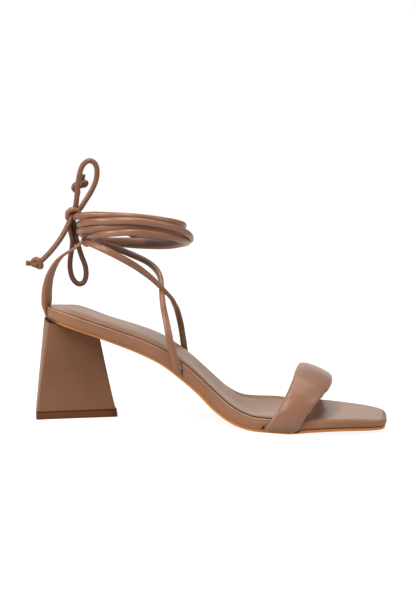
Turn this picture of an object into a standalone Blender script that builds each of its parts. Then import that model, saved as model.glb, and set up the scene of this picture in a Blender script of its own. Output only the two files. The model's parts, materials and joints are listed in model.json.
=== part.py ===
"""Block heel sandal for the right foot: wrapped platform, padded toe strap, tied ankle strap.

The shoe stands on the floor z = 0 with its toe towards +X and its inner (medial) side
towards +Y. Sizes below are in millimetres, measured from the back of the heel seat,
and become metres as each mesh is made.
"""
import math
from collections import namedtuple

import bmesh
import bpy
from mathutils import Quaternion, Vector

MM = 0.001
MERGE = 0.01            # points nearer than this are one point
SHARP_ANGLE = 40.0      # degrees, past which an edge is shaded sharp

# Driving sizes
LENGTH = 237.6          # plan length of the sole on its centre line
HEEL_BACK = 1.2         # back of the sole, a little in front of the heel's back
HEEL_ROUND = 25.0       # where the round heel seat ends
TOE_START = 196.0       # where the square toe begins to close
TOE_POWER = 4.6         # how square the toe is, 2 would be an ellipse
TOE_SLANT = 0.11        # the inner side of the tip reaches further forward
OUTSOLE = 2.1           # outsole thickness
GAP = 0.3               # room between pieces that meet
RIM_SEAT = 2.0          # how far the insole sits below the rim
RIM_WIDTH = 2.3         # width of the rim round the insole
RIM_ROUND = 0.9         # rounding of the rim's outer edge
RISE_FROM, RISE_TO = -20.0, 25.0    # across this width the rim rises to the inner side
TREAD_INSET = 0.9       # how far the outsole's lower edge lies inside the outline
OUTSOLE_INSET = 0.7     # the same for its upper edge
BOARD_INSET = 1.2       # the same for the platform's lower edge
WALL_FOOT, WALL_HEAD = 0.2, 0.86    # shares of the wall's height between its rounded edges
INSOLE_SHOULDER = 3.0   # width of the insole's rounded shoulder
MIDLINE_BACK, MIDLINE_FRONT = 20.0, 222.0   # ends of the middle line that the rings close on
SLANT_START = 176.0     # where the slant of the toe begins
HEEL_STEPS, SIDE_STEPS, TOE_STEPS = 7, 19, 9

# Sections of the sole from heel to toe. tread: height of the underside, rim: height of the
# outer rim, lateral and medial: half-widths, rise: how much higher the inner rim is,
# pad: height of the insole's shoulder over the rim, crown: its dome (or dish) between the rims.
Section = namedtuple("Section", "x tread rim lateral medial rise pad crown")
SECTIONS = [
    Section(0, 65.3, 75.4, 25.0, 25.0, -0.5, 0.3, 0.5),
    Section(12, 62.9, 72.9, 25.3, 25.3, -0.5, 0.4, 1.1),
    Section(25, 59.7, 69.8, 25.8, 25.8, -0.3, 0.4, 1.5),
    Section(45, 54.0, 64.1, 26.3, 26.2, 0.0, 0.5, 1.5),
    Section(65, 47.6, 57.6, 26.0, 25.6, 0.6, 0.6, 1.4),
    Section(80, 41.3, 51.2, 26.0, 24.4, 2.5, 0.6, 1.1),
    Section(92, 33.2, 43.9, 26.6, 23.4, 4.1, 0.6, 0.6),
    Section(104, 23.2, 35.0, 27.6, 23.2, 5.0, 0.6, 0.0),
    Section(116, 11.7, 25.2, 29.4, 24.0, 4.2, 0.6, -0.7),
    Section(128, 4.1, 16.7, 32.0, 26.4, 3.0, 0.6, -1.3),
    Section(138, 0.9, 12.2, 34.2, 29.0, 2.0, 0.6, -1.6),
    Section(146, 0.0, 10.9, 35.9, 31.4, 1.6, 0.6, -1.7),
    Section(166, 0.0, 10.4, 38.4, 36.4, 1.4, 0.6, -1.6),
    Section(180, 1.5, 10.5, 38.4, 38.2, 1.0, 0.6, -1.3),
    Section(200, 2.6, 10.9, 35.2, 36.8, 0.2, 0.5, -0.8),
    Section(220, 2.8, 10.6, 30.2, 32.2, -0.3, 0.4, -0.4),
    Section(238, 2.8, 9.2, 25.4, 27.6, -0.3, 0.3, -0.2),
]

# Heel: plan sections at the floor and under the seat
HeelPlan = namedtuple("HeelPlan", "back bulge back_half front front_half")
HEEL_FOOT = HeelPlan(-0.4, 1.6, 26.0, 51.2, 4.6)
HEEL_HEAD = HeelPlan(3.6, 4.8, 17.6, 37.4, 6.0)
HEEL_EDGE = 2.2         # rounding of the heel's upright edges
HEEL_HEIGHT = 60.0      # mean height of the block over the lift
HEEL_MIDDLE = 0.4       # share of the plan's depth where its rings close
HEEL_LEVELS = (0.02, 0.3, 0.6, 0.9)     # shares of the height with a section of their own
EDGE_STEPS = (0.0, 0.3, 0.7, 1.0)       # places round an upright edge
BACK_STEPS = (0.2, 0.4, 0.5, 0.6, 0.8)  # places across the bulged back
LIFT_HEIGHT = 5.0
LIFT_PROUD = 0.5        # the lift stands a little proud in front
LIFT_PROUD_FROM = 20.0  # where that begins

# Padded toe strap: its rear and front edge at each section and its thickness
StrapRow = namedtuple("StrapRow", "rear_x rear_y rear_z front_x front_y front_z thick")
TOE_STRAP = [
    StrapRow(151.0, -39.1, 2.8, 173.6, -40.9, 3.0, 3.4),
    StrapRow(153.6, -40.4, 8.6, 175.6, -42.0, 8.8, 5.4),
    StrapRow(157.6, -40.0, 16.2, 179.4, -40.6, 16.6, 6.4),
    StrapRow(162.8, -35.6, 26.0, 185.2, -35.8, 23.4, 6.6),
    StrapRow(167.6, -26.4, 34.4, 191.4, -26.8, 28.4, 6.6),
    StrapRow(171.4, -13.0, 40.0, 195.8, -13.0, 31.4, 6.6),
    StrapRow(175.2, 2.0, 41.2, 198.2, 3.0, 32.0, 6.6),
    StrapRow(179.0, 16.0, 38.4, 200.0, 17.0, 30.0, 6.6),
    StrapRow(181.0, 28.2, 31.2, 200.2, 29.0, 25.0, 6.4),
    StrapRow(180.6, 37.6, 20.8, 199.4, 37.6, 18.0, 6.0),
    StrapRow(178.0, 41.6, 10.0, 197.6, 41.0, 9.6, 5.0),
    StrapRow(175.6, 41.0, 3.2, 196.4, 39.8, 3.4, 3.4),
]
STRAP_STEPS = 26
STRAP_SIDES = 18
STRAP_POWER = 2.8       # how full the strap's section is, 2 would be an ellipse

# Ankle tie: route, width and thickness of the two straps up to the heel loop
TieRow = namedtuple("TieRow", "x y z wide thick")
LATERAL_STRAP = [
    TieRow(90.2, -28.8, 35.4, 6.4, 2.6),
    TieRow(89.0, -28.7, 41.0, 6.2, 2.6),
    TieRow(87.2, -28.5, 47.6, 5.4, 2.8),
    TieRow(84.4, -27.8, 56.6, 4.6, 3.0),
    TieRow(81.2, -24.6, 69.6, 4.2, 3.0),
    TieRow(78.6, -17.0, 80.4, 4.2, 3.0),
    TieRow(77.2, -4.0, 89.6, 4.2, 3.0),
    TieRow(77.0, 5.0, 96.0, 4.2, 3.0),
    TieRow(73.8, 12.0, 100.8, 4.2, 3.0),
    TieRow(67.8, 18.0, 104.6, 4.2, 3.0),
    TieRow(57.0, 22.4, 108.6, 4.2, 3.0),
    TieRow(44.6, 21.4, 112.8, 4.2, 3.0),
    TieRow(31.6, 14.6, 116.8, 4.2, 3.0),
    TieRow(22.8, 5.4, 119.0, 4.0, 2.9),
]
MEDIAL_STRAP = [
    TieRow(100.6, 25.6, 30.4, 5.2, 2.6),
    TieRow(100.0, 25.6, 37.0, 5.0, 2.6),
    TieRow(98.6, 25.4, 44.0, 4.6, 2.8),
    TieRow(95.4, 22.6, 59.4, 4.4, 3.0),
    TieRow(89.8, 15.0, 74.0, 4.2, 3.0),
    TieRow(83.6, 6.0, 84.8, 4.2, 3.0),
    TieRow(78.8, -2.0, 91.6, 4.2, 3.0),
    TieRow(70.0, -11.0, 98.6, 4.2, 3.0),
    TieRow(58.4, -19.4, 105.6, 4.2, 3.0),
    TieRow(46.4, -25.6, 112.2, 4.2, 3.0),
    TieRow(36.0, -26.6, 117.0, 4.2, 3.0),
    TieRow(27.0, -19.0, 119.2, 4.0, 3.0),
    TieRow(22.8, -7.0, 119.4, 3.6, 2.8),
    TieRow(21.6, 0.0, 119.4, 3.2, 2.6),
]
# Turns round the ankle from the heel loop to the knot: distance from the ankle's middle and
# height at the back, the near (lateral) side, the front and the far side
ANKLE_X = 57.5
Turn = namedtuple("Turn", "back near front far back_z near_z front_z far_z")
TURNS = [
    Turn(36.0, 36.6, 38.6, 36.4, 119.4, 130.3, 120.4, 115.2),
    Turn(38.0, 33.0, 35.2, 33.0, 127.2, 133.6, 123.0, 118.8),
    Turn(38.2, 36.8, 39.2, 36.4, 131.7, 137.4, 125.8, 121.8),
    Turn(38.0, 33.2, 34.2, 33.0, 136.2, 140.0, 133.0, 126.8),
]
TIE_END = Turn(38.0, 0, 0, 0, 140.6, 0, 0, 0)
WOUND_WIDE, WOUND_THICK = 4.3, 2.9
TIE_SIDES = 8
TIE_POWER = 2.2
TIE_PITCH = 5.5         # distance between the tie's sections
POINTS_PER_TURN = 28
WALL_TOP, LEG_FOOT = 55.0, 85.0     # between these heights the tie turns from wall to leg
LEG_TAPER = 0.5         # lean of the tie's outer side below the turns

# Heel loop: strap from the back of the seat up to an eye round the tie
LoopRow = namedtuple("LoopRow", "x z wide thick turn")
HEEL_LOOP = [
    LoopRow(-0.8, 65.7, 10.5, 2.4, 0),
    LoopRow(-1.1, 72.4, 10.5, 2.4, 0),
    LoopRow(-0.2, 77.8, 10.0, 2.4, 20),
    LoopRow(0.8, 82.5, 9.6, 2.4, 30),
    LoopRow(2.0, 91.0, 9.0, 2.4, 28),
    LoopRow(5.0, 100.0, 8.0, 2.3, 16),
    LoopRow(10.4, 107.0, 7.0, 2.1, 6),
    LoopRow(16.4, 111.2, 6.0, 1.9, 0),
    LoopRow(20.8, 114.0, 5.0, 1.8, 0),
]
EYE_CENTRE = (21.5, 119.4)
EYE_RADIUS = 4.4
EYE_FROM, EYE_TO = -50.0, 205.0     # degrees round the eye, from the strap's end
EYE_WIDE, EYE_THICK = 4.6, 1.7
EYE_STEPS = 10
LOOP_SIDES = 10
LOOP_POWER = 3.0

# Bow at the back of the ankle: the cord's radius and its routes
CORD_RADIUS = 1.65
KNOT_CENTRE = (13.6, -1.0, 137.4)
KNOT_SIZE = (4.0, 4.4, 4.0)         # half-sizes of the knot
UPPER_LOOP = [
    (15.0, -2.2, 141.6), (17.2, -3.2, 148.0), (17.6, -4.0, 156.0), (18.2, -4.0, 164.0),
    (20.0, -4.0, 171.0), (24.4, -4.0, 174.6), (28.6, -4.0, 171.0), (29.6, -4.0, 163.6),
    (27.4, -3.8, 154.0), (22.6, -3.4, 146.4), (18.6, -2.8, 141.4),
]
LOWER_LOOP = [
    (12.4, 3.0, 132.4), (12.9, 6.0, 126.4), (14.2, 6.8, 116.0), (14.8, 6.8, 104.0),
    (15.8, 6.8, 94.6), (20.8, 6.8, 88.8), (26.2, 6.8, 93.6), (26.6, 6.8, 102.0),
    (23.6, 6.8, 110.6), (19.8, 7.2, 116.0), (16.9, 7.0, 121.4), (16.3, 5.8, 127.0),
    (15.8, 4.2, 132.2),
]
NEAR_END = [
    (12.8, -5.6, 134.4), (11.8, -8.8, 129.4), (9.4, -10.8, 123.4), (5.8, -12.2, 117.2),
    (1.2, -12.9, 111.4), (-3.8, -13.0, 106.4),
]
FAR_END = [(13.4, 4.0, 140.4), (14.8, 5.2, 145.4), (16.4, 4.6, 149.4), (17.2, 4.0, 152.6)]
END_KNOT = 3.7          # radius of the overhand knot on each end
STUB = 4.6              # cord left beyond that knot
NEAR_STUB_WAY = (-1.0, 0.0, 0.05)
FAR_STUB_WAY = (0.35, 0.0, 0.94)
KNOT_SEGMENTS, KNOT_RINGS = 14, 9
ROUTE_PITCH = 7.0       # distance between points on a cord's route
CURVE_STEPS = 16        # steps of a smooth curve between two points

COLOURS = {
    "outsole": ((0.42, 0.20, 0.075), 0.6),
    "platform": ((0.30, 0.155, 0.095), 0.45),
    "insole": ((0.36, 0.22, 0.15), 0.5),
    "heel": ((0.20, 0.098, 0.062), 0.5),
    "lift": ((0.13, 0.056, 0.03), 0.55),
    "strap": ((0.31, 0.165, 0.11), 0.42),
    "tie": ((0.28, 0.14, 0.09), 0.45),
}


def smooth(rows, column, x, key="x"):
    """Value of a table's column at x, on a smooth curve through its rows."""
    last = len(rows) - 2
    i = 0
    while i < last and x > getattr(rows[i + 1], key):
        i += 1
    picks = [rows[max(i - 1, 0)], rows[i], rows[i + 1], rows[min(i + 2, last + 1)]]
    xs = [getattr(row, key) for row in picks]
    vs = [getattr(row, column) for row in picks]
    width = xs[2] - xs[1]
    t = min(max((x - xs[1]) / width, 0.0), 1.0)
    start = (vs[2] - vs[0]) / (xs[2] - xs[0]) * width
    end = (vs[3] - vs[1]) / (xs[3] - xs[1]) * width
    return ((2 * t ** 3 - 3 * t ** 2 + 1) * vs[1] + (t ** 3 - 2 * t ** 2 + t) * start
            + (3 * t ** 2 - 2 * t ** 3) * vs[2] + (t ** 3 - t ** 2) * end)


def ease(low, high, value):
    """Soft step from 0 at low to 1 at high."""
    t = min(max((value - low) / (high - low), 0.0), 1.0)
    return t * t * (3 - 2 * t)


def through(points, pitch):
    """Evenly spaced points on a smooth curve through the given points."""
    pts = [Vector(p) for p in points]
    dense = []
    for i in range(len(pts) - 1):
        p0, p1, p2 = pts[max(i - 1, 0)], pts[i], pts[i + 1]
        p3 = pts[min(i + 2, len(pts) - 1)]
        for k in range(CURVE_STEPS):
            t = k / CURVE_STEPS
            dense.append(0.5 * (2 * p1 + (p2 - p0) * t + (2 * p0 - 5 * p1 + 4 * p2 - p3) * t * t
                                + (3 * p1 - p0 - 3 * p2 + p3) * t ** 3))
    dense.append(pts[-1])
    lengths = [0.0]
    for a, b in zip(dense, dense[1:]):
        lengths.append(lengths[-1] + (b - a).length)
    count = max(3, round(lengths[-1] / pitch))
    out = []
    j = 0
    for k in range(count + 1):
        want = lengths[-1] * k / count
        while j < len(dense) - 2 and lengths[j + 1] < want:
            j += 1
        t = (want - lengths[j]) / max(lengths[j + 1] - lengths[j], 1e-9)
        out.append(dense[j].lerp(dense[j + 1], min(t, 1.0)))
    return out


def new_object(name, mesh, finish):
    """Object in the sandal's collection with its own Principled material."""
    colour, roughness = COLOURS[finish]
    material = bpy.data.materials.new(name)
    material.use_nodes = True
    shader = material.node_tree.nodes["Principled BSDF"]
    shader.inputs["Base Color"].default_value = (*colour, 1.0)
    shader.inputs["Roughness"].default_value = roughness
    shader.inputs["Metallic"].default_value = 0.0
    mesh.materials.append(material)
    obj = bpy.data.objects.new(name, mesh)
    collection.objects.link(obj)
    obj.parent = frame
    return obj


def skin(name, rings, finish, closed_ends=True):
    """Closed solid through rings of equal count, which end in flat caps or in collapsed rings."""
    bm = bmesh.new()
    loops = [[bm.verts.new(Vector(p) * MM) for p in ring] for ring in rings]
    count = len(rings[0])
    for low, high in zip(loops, loops[1:]):
        for i in range(count):
            j = (i + 1) % count
            bm.faces.new((low[i], low[j], high[j], high[i]))
    if closed_ends:
        bm.faces.new(list(reversed(loops[0])))
        bm.faces.new(loops[-1])
    bmesh.ops.remove_doubles(bm, verts=bm.verts, dist=MERGE * MM)
    bmesh.ops.recalc_face_normals(bm, faces=bm.faces)
    mesh = bpy.data.meshes.new(name)
    bm.to_mesh(mesh)
    bm.free()
    mesh.shade_smooth()
    mesh.set_sharp_from_angle(angle=math.radians(SHARP_ANGLE))
    return new_object(name, mesh, finish)


def stations():
    """Stations along the sole as (x, how far the half-width has closed)."""
    rows = []
    for i in range(HEEL_STEPS):
        a = math.pi / 2 * i / HEEL_STEPS
        rows.append((HEEL_ROUND - (HEEL_ROUND - HEEL_BACK) * math.cos(a), math.sin(a)))
    for i in range(SIDE_STEPS):
        rows.append((HEEL_ROUND + (TOE_START - HEEL_ROUND) * i / SIDE_STEPS, 1.0))
    power = 2 / TOE_POWER
    for i in range(TOE_STEPS + 1):
        a = math.pi / 2 * i / TOE_STEPS
        rows.append((TOE_START + (LENGTH - TOE_START) * math.sin(a) ** power,
                     max(math.cos(a), 0.0) ** power if i < TOE_STEPS else 0.0))
    return rows


def plan_outline(inset):
    """Outline of the sole moved inwards, outer side first, from the heel round the toe."""
    rows = stations()
    outer = [Vector((x, -smooth(SECTIONS, "lateral", x) * close)) for x, close in rows]
    inner = [Vector((x, smooth(SECTIONS, "medial", x) * close)) for x, close in rows]
    loop = outer + inner[-2:0:-1]
    moved = []
    for i, p in enumerate(loop):
        along = loop[(i + 1) % len(loop)] - loop[i - 1]
        inwards = Vector((-along.y, along.x)).normalized()
        moved.append(p + inwards * inset)
    return moved


def sole_ring(inset, spread, height):
    """Ring of the sole at an inset, drawn towards the middle line by spread, at height(x, y, f)."""
    ring = []
    loop = plan_outline(inset)
    count = len(loop)
    for i, p in enumerate(loop):
        twin = loop[(count - i) % count]
        middle = Vector((min(max((p.x + twin.x) / 2, MIDLINE_BACK), MIDLINE_FRONT),
                         (p.y + twin.y) / 2 if HEEL_ROUND < p.x < TOE_START else 0.0))
        spot = middle.lerp(p, spread)
        slant = TOE_SLANT * spot.y * ease(SLANT_START, LENGTH, spot.x)
        ring.append((spot.x + slant, spot.y, height(spot.x, spot.y, spread)))
    return ring


def sheet(inset, spreads, height):
    """Rings of a face of the sole, between the middle line and the outline."""
    return [sole_ring(inset, spread, height) for spread in spreads]


def tread(x, y=0.0, spread=1.0):
    """Underside of the outsole, flat on the floor under the ball of the foot."""
    return max(0.0, smooth(SECTIONS, "tread", x))


def steep(x):
    """Upright height of a layer one unit thick on the sloping sole."""
    slope = (tread(x + 1) - tread(x - 1)) / 2
    return math.sqrt(1 + slope * slope)


def outsole_top(x, y=0.0, spread=1.0):
    """Upper face of the outsole."""
    return tread(x) + OUTSOLE * steep(x)


def board(x, y=0.0, spread=1.0):
    """Underside of the wrapped platform."""
    return outsole_top(x) + GAP * steep(x)


def rim(x, y, spread=1.0):
    """Top of the platform's rim, higher on the inner side."""
    return smooth(SECTIONS, "rim", x) + smooth(SECTIONS, "rise", x) * ease(RISE_FROM, RISE_TO, y)


def wall(share):
    """Height function part of the way up the platform's wall."""
    return lambda x, y, f: board(x) + (rim(x, y) - board(x)) * share


def dome(x, f):
    """Dome of the footbed between its edges."""
    return smooth(SECTIONS, "crown", x) * (1 - f * f)


def seat(x, y, f):
    """Face of the platform that the insole lies on."""
    return rim(x, y) - RIM_SEAT + dome(x, f)


def insole_under(x, y, f):
    """Underside of the insole."""
    return seat(x, y, f) + GAP


def insole_top(share):
    """Height function of the insole's padded upper side, share of its shoulder's height."""
    return lambda x, y, f: rim(x, y) + smooth(SECTIONS, "pad", x) * share + dome(x, f)


def build_sole():
    """Outsole, platform and insole as rings from the middle of the underside to the top."""
    outwards = (0.0, 0.33, 0.66, 1.0)
    inwards = outwards[::-1]
    outsole = sheet(TREAD_INSET, outwards, tread) + sheet(OUTSOLE_INSET, inwards, outsole_top)
    skin("outsole", outsole, "outsole", False)
    platform = sheet(BOARD_INSET, outwards, board)
    platform += [sole_ring(0.0, 1.0, wall(WALL_FOOT)), sole_ring(0.0, 1.0, wall(WALL_HEAD)),
                 sole_ring(RIM_ROUND, 1.0, wall(1.0))]
    platform += sheet(RIM_WIDTH - GAP, inwards, seat)
    skin("platform", platform, "platform", False)
    edge = RIM_WIDTH + GAP
    insole = sheet(edge, outwards, insole_under)
    insole += [sole_ring(edge, 1.0, insole_top(0.35)),
               sole_ring(edge + INSOLE_SHOULDER / 3, 1.0, insole_top(0.85))]
    insole += sheet(edge + INSOLE_SHOULDER, inwards, insole_top(1.0))
    skin("insole", insole, "insole", False)


def heel_outline(plan):
    """Round-edged triangular plan of the heel: bulged back, straight sides, narrow front."""
    corners = [(plan.back, plan.back_half), (plan.back, -plan.back_half),
               (plan.front, -plan.front_half), (plan.front, plan.front_half)]
    points = []
    for k, corner in enumerate(corners):
        here = Vector(corner)
        before = (Vector(corners[k - 1]) - here).normalized()
        after = (Vector(corners[(k + 1) % 4]) - here).normalized()
        for t in EDGE_STEPS:
            points.append(here + before * HEEL_EDGE * (1 - t) ** 2 + after * HEEL_EDGE * t ** 2)
        if k == 0:
            reach = plan.back_half - HEEL_EDGE
            points += [Vector((plan.back, reach * (1 - 2 * t))) for t in BACK_STEPS]
    bulged = []
    for p in points:
        share = max(0.0, 1 - (p.y / plan.back_half) ** 2)
        behind = 1 - ease(plan.back, plan.back + 2 * HEEL_EDGE, p.x)
        bulged.append(Vector((p.x - plan.bulge * share * behind, p.y)))
    return bulged


def heel_ring(share, spread, height):
    """Ring of the heel between its foot (share 0) and its head (share 1)."""
    plan = HeelPlan(*(a + (b - a) * share for a, b in zip(HEEL_FOOT, HEEL_HEAD)))
    middle = Vector((plan.back + (plan.front - plan.back) * HEEL_MIDDLE, 0.0))
    spots = [middle.lerp(p, spread) for p in heel_outline(plan)]
    return [(spot.x, spot.y, height(spot.x)) for spot in spots]


def under_seat(x):
    """Top of the heel, just clear of the outsole."""
    return tread(max(x, 0.0)) - GAP


def build_heel():
    """Heel block and the lift under it."""
    foot = LIFT_HEIGHT + GAP
    rings = [heel_ring(0, spread, lambda x: foot) for spread in (0.0, 0.6, 1.0)]
    for level in HEEL_LEVELS:
        rings.append(heel_ring(level, 1.0, lambda x: foot + (under_seat(x) - foot) * level))
    rings += [heel_ring(1, spread, under_seat) for spread in (1.0, 0.6, 0.0)]
    skin("heel_block", rings, "heel", False)
    flare = LIFT_HEIGHT / HEEL_HEIGHT
    lift = [heel_ring(-flare, 1.0, lambda x: 0.0), heel_ring(0, 1.0, lambda x: LIFT_HEIGHT)]
    lift = [[(x + LIFT_PROUD * ease(LIFT_PROUD_FROM, HEEL_FOOT.front, x), y, z) for x, y, z in ring]
            for ring in lift]
    skin("heel_lift", lift, "lift")


def round_section(centre, across, out, half_wide, half_thick, sides, power):
    """Ring of a rounded flat section."""
    ring = []
    for k in range(sides):
        a = 2 * math.pi * k / sides
        c, s = math.cos(a), math.sin(a)
        ring.append(centre + across * half_wide * math.copysign(abs(c) ** (2 / power), c)
                    + out * half_thick * math.copysign(abs(s) ** (2 / power), s))
    return ring


def build_toe_strap():
    """Padded band over the toes, from the outer wall of the platform to the inner one."""
    Row = namedtuple("Row", ("at",) + StrapRow._fields)
    rows = [Row(i, *row) for i, row in enumerate(TOE_STRAP)]
    places = [len(rows[:-1]) * k / STRAP_STEPS for k in range(STRAP_STEPS + 1)]

    def value(column, at):
        return smooth(rows, column, at, "at")

    edges = []
    for at in places:
        rear = Vector([value(c, at) for c in ("rear_x", "rear_y", "rear_z")])
        front = Vector([value(c, at) for c in ("front_x", "front_y", "front_z")])
        edges.append((rear, front, value("thick", at)))
    rings = []
    for i, (rear, front, thick) in enumerate(edges):
        before, after = edges[max(i - 1, 0)], edges[min(i + 1, STRAP_STEPS)]
        along = (after[0] + after[1] - before[0] - before[1]).normalized()
        across = front - rear
        half = across.length / 2
        across.normalize()
        out = along.cross(across).normalized()
        if i in (0, STRAP_STEPS):
            out = Vector((0, out.y, 0)).normalized()
        rings.append(round_section((rear + front) / 2, across, out, half, thick / 2, STRAP_SIDES,
                                   STRAP_POWER))
    skin("toe_strap", rings, "strap")


def facing(p):
    """Outward side of the tie: off the wall at the sole, off the leg higher up."""
    off_wall = Vector((0, math.copysign(1, p.y), 0))
    off_leg = Vector((p.x - ANKLE_X, p.y, max(0.0, TURNS[0].back_z - p.z) * LEG_TAPER))
    return off_wall.lerp(off_leg.normalized(), ease(WALL_TOP, LEG_FOOT, p.z))


def tie_rings(rows):
    """Rings along a stretch of the tie, from rows of place, width and thickness."""
    spots = [Vector(row[:3]) for row in rows]
    rings = []
    for i, p in enumerate(spots):
        along = (spots[min(i + 1, len(spots) - 1)] - spots[max(i - 1, 0)]).normalized()
        out = facing(p)
        out = (out - along * out.dot(along)).normalized()
        across = along.cross(out)
        rings.append(round_section(p, across, out, rows[i].wide / 2, rows[i].thick / 2, TIE_SIDES,
                                   TIE_POWER))
    return rings


def along_tie(rows):
    """Rows read at an even pitch from a smooth curve through a strap's own rows."""
    Row = namedtuple("Row", ("at",) + TieRow._fields)
    placed = [Row(0.0, *rows[0])]
    for a, b in zip(rows, rows[1:]):
        placed.append(Row(placed[-1].at + (Vector(b[:3]) - Vector(a[:3])).length, *b))
    total = placed[-1].at
    count = round(total / TIE_PITCH)
    return [TieRow(*(smooth(placed, c, total * k / count, "at") for c in TieRow._fields))
            for k in range(count + 1)]


def wound_turns():
    """Rows of the tie from the heel loop round the ankle to the knot."""
    Quarter = namedtuple("Quarter", "at z")
    heights = []
    for k, turn in enumerate(TURNS):
        for q, z in enumerate((turn.back_z, turn.near_z, turn.front_z, turn.far_z)):
            heights.append(Quarter(4 * k + q, z))
    heights.append(Quarter(4 * len(TURNS), TIE_END.back_z))
    rows = []
    for k, turn in enumerate(TURNS):
        following = TURNS[k + 1] if k + 1 < len(TURNS) else TIE_END
        ends = ((turn.back, turn.near), (turn.front, turn.near), (turn.front, turn.far),
                (following.back, turn.far))
        for i in range(POINTS_PER_TURN):
            at = 4 * i / POINTS_PER_TURN
            angle = math.pi / 2 * at
            length, side = ends[int(at)]
            rows.append(TieRow(ANKLE_X - length * math.cos(angle), -side * math.sin(angle),
                               smooth(heights, "z", 4 * k + at, "at"), WOUND_WIDE, WOUND_THICK))
    rows.append(TieRow(ANKLE_X - TIE_END.back, 0.0, TIE_END.back_z, WOUND_WIDE, WOUND_THICK))
    return rows


def build_ankle_tie():
    """Both straps and the turns round the ankle, joined where they cross."""
    turns = wound_turns()
    lateral = along_tie(LATERAL_STRAP + turns[:3])
    tie = skin("ankle_tie", tie_rings(lateral[:-1] + turns[2:]), "tie")
    medial = skin("medial_strap", tie_rings(along_tie(MEDIAL_STRAP)), "tie")
    collection.objects.unlink(medial)
    cutters.objects.link(medial)
    medial.hide_render = True
    medial.display_type = "WIRE"
    join = tie.modifiers.new("join medial strap", "BOOLEAN")
    join.operation = "UNION"
    join.solver = "EXACT"
    join.object = medial


def build_heel_loop():
    """Strap from the back of the seat that ends in an eye round the tie."""
    rows = list(HEEL_LOOP)
    for k in range(EYE_STEPS + 1):
        a = math.radians(EYE_FROM + (EYE_TO - EYE_FROM) * k / EYE_STEPS)
        rows.append(LoopRow(EYE_CENTRE[0] + EYE_RADIUS * math.cos(a),
                            EYE_CENTRE[1] + EYE_RADIUS * math.sin(a), EYE_WIDE, EYE_THICK, 0))
    spots = [Vector((row.x, 0.0, row.z)) for row in rows]
    sideways = Vector((0, 1, 0))
    rings = []
    for i, p in enumerate(spots):
        along = (spots[min(i + 1, len(spots) - 1)] - spots[max(i - 1, 0)]).normalized()
        across = Quaternion(along, math.radians(-rows[i].turn)) @ sideways
        out = along.cross(across)
        rings.append(round_section(p, across, out, rows[i].wide / 2, rows[i].thick / 2, LOOP_SIDES,
                                   LOOP_POWER))
    skin("heel_loop", rings, "tie")


def cord(name, points):
    """Round cord along a smooth curve through its points, with filled ends."""
    curve = bpy.data.curves.new(name, "CURVE")
    curve.dimensions = "3D"
    curve.bevel_depth = CORD_RADIUS * MM
    curve.bevel_resolution = 2
    curve.use_fill_caps = True
    route = through(points, ROUTE_PITCH)
    spline = curve.splines.new("POLY")
    spline.points.add(len(route) - 1)
    for point, p in zip(spline.points, route):
        point.co = (*(p * MM), 1.0)
    return new_object(name, curve, "tie")


def knot(name, centre, half_sizes):
    """Tight knot as a rounded solid."""
    bm = bmesh.new()
    bmesh.ops.create_uvsphere(bm, u_segments=KNOT_SEGMENTS, v_segments=KNOT_RINGS, radius=1.0)
    bmesh.ops.scale(bm, vec=Vector(half_sizes) * MM, verts=bm.verts)
    bmesh.ops.translate(bm, vec=Vector(centre) * MM, verts=bm.verts)
    mesh = bpy.data.meshes.new(name)
    bm.to_mesh(mesh)
    bm.free()
    mesh.shade_smooth()
    return new_object(name, mesh, "tie")


def tie_end(name, points, stub_way):
    """One end of the tie: its free cord, the overhand knot on it and the stub beyond."""
    cord(name, points)
    last = Vector(points[-1])
    way = (last - Vector(points[-2])).normalized()
    centre = last + way * (END_KNOT + GAP)
    knot(name + "_knot", centre, (END_KNOT,) * 3)
    onwards = Vector(stub_way).normalized()
    start = centre + onwards * (END_KNOT + GAP)
    cord(name + "_stub", [start, start + onwards * STUB])


def build_bow():
    """Knot, loops and ends of the bow behind the ankle."""
    knot("bow_knot", KNOT_CENTRE, KNOT_SIZE)
    cord("bow_loop_upper", UPPER_LOOP)
    cord("bow_loop_lower", LOWER_LOOP)
    tie_end("tie_end_near", NEAR_END, NEAR_STUB_WAY)
    tie_end("tie_end_far", FAR_END, FAR_STUB_WAY)


def centre_frame():
    """Put the origin under the middle of the shoe, bow left out, with the sole on z = 0."""
    bpy.context.view_layer.update()
    lows = [math.inf, math.inf]
    highs = [-math.inf, -math.inf]
    for obj in collection.objects:
        if obj.type != "MESH" or obj.name.startswith(("bow_", "tie_end_")):
            continue
        for vertex in obj.data.vertices:
            for axis in range(2):
                lows[axis] = min(lows[axis], vertex.co[axis])
                highs[axis] = max(highs[axis], vertex.co[axis])
    frame.location = (-(lows[0] + highs[0]) / 2, -(lows[1] + highs[1]) / 2, 0.0)


for old in list(bpy.data.objects):
    bpy.data.objects.remove(old, do_unlink=True)
collection = bpy.data.collections.new("block_heel_sandal")
cutters = bpy.data.collections.new("cutters")
bpy.context.scene.collection.children.link(collection)
bpy.context.scene.collection.children.link(cutters)
frame = bpy.data.objects.new("sandal_frame", None)
collection.objects.link(frame)

build_sole()
build_heel()
build_toe_strap()
build_ankle_tie()
build_heel_loop()
build_bow()
centre_frame()
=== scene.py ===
"""Looks of the block heel sandal: fine meshes, finishes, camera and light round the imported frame.

Sizes are in millimetres in the shoe's own frame: x runs from the back of the heel seat to the toe,
y to the inner side of the foot and z up from the floor.
"""
import json
import logging
import math
from collections.abc import Callable, Sequence
from dataclasses import dataclass, field
from enum import Enum, IntEnum
from functools import cache
from typing import NamedTuple

import bmesh
import bpy
import numpy as np
from mathutils import Matrix, Vector

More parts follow.
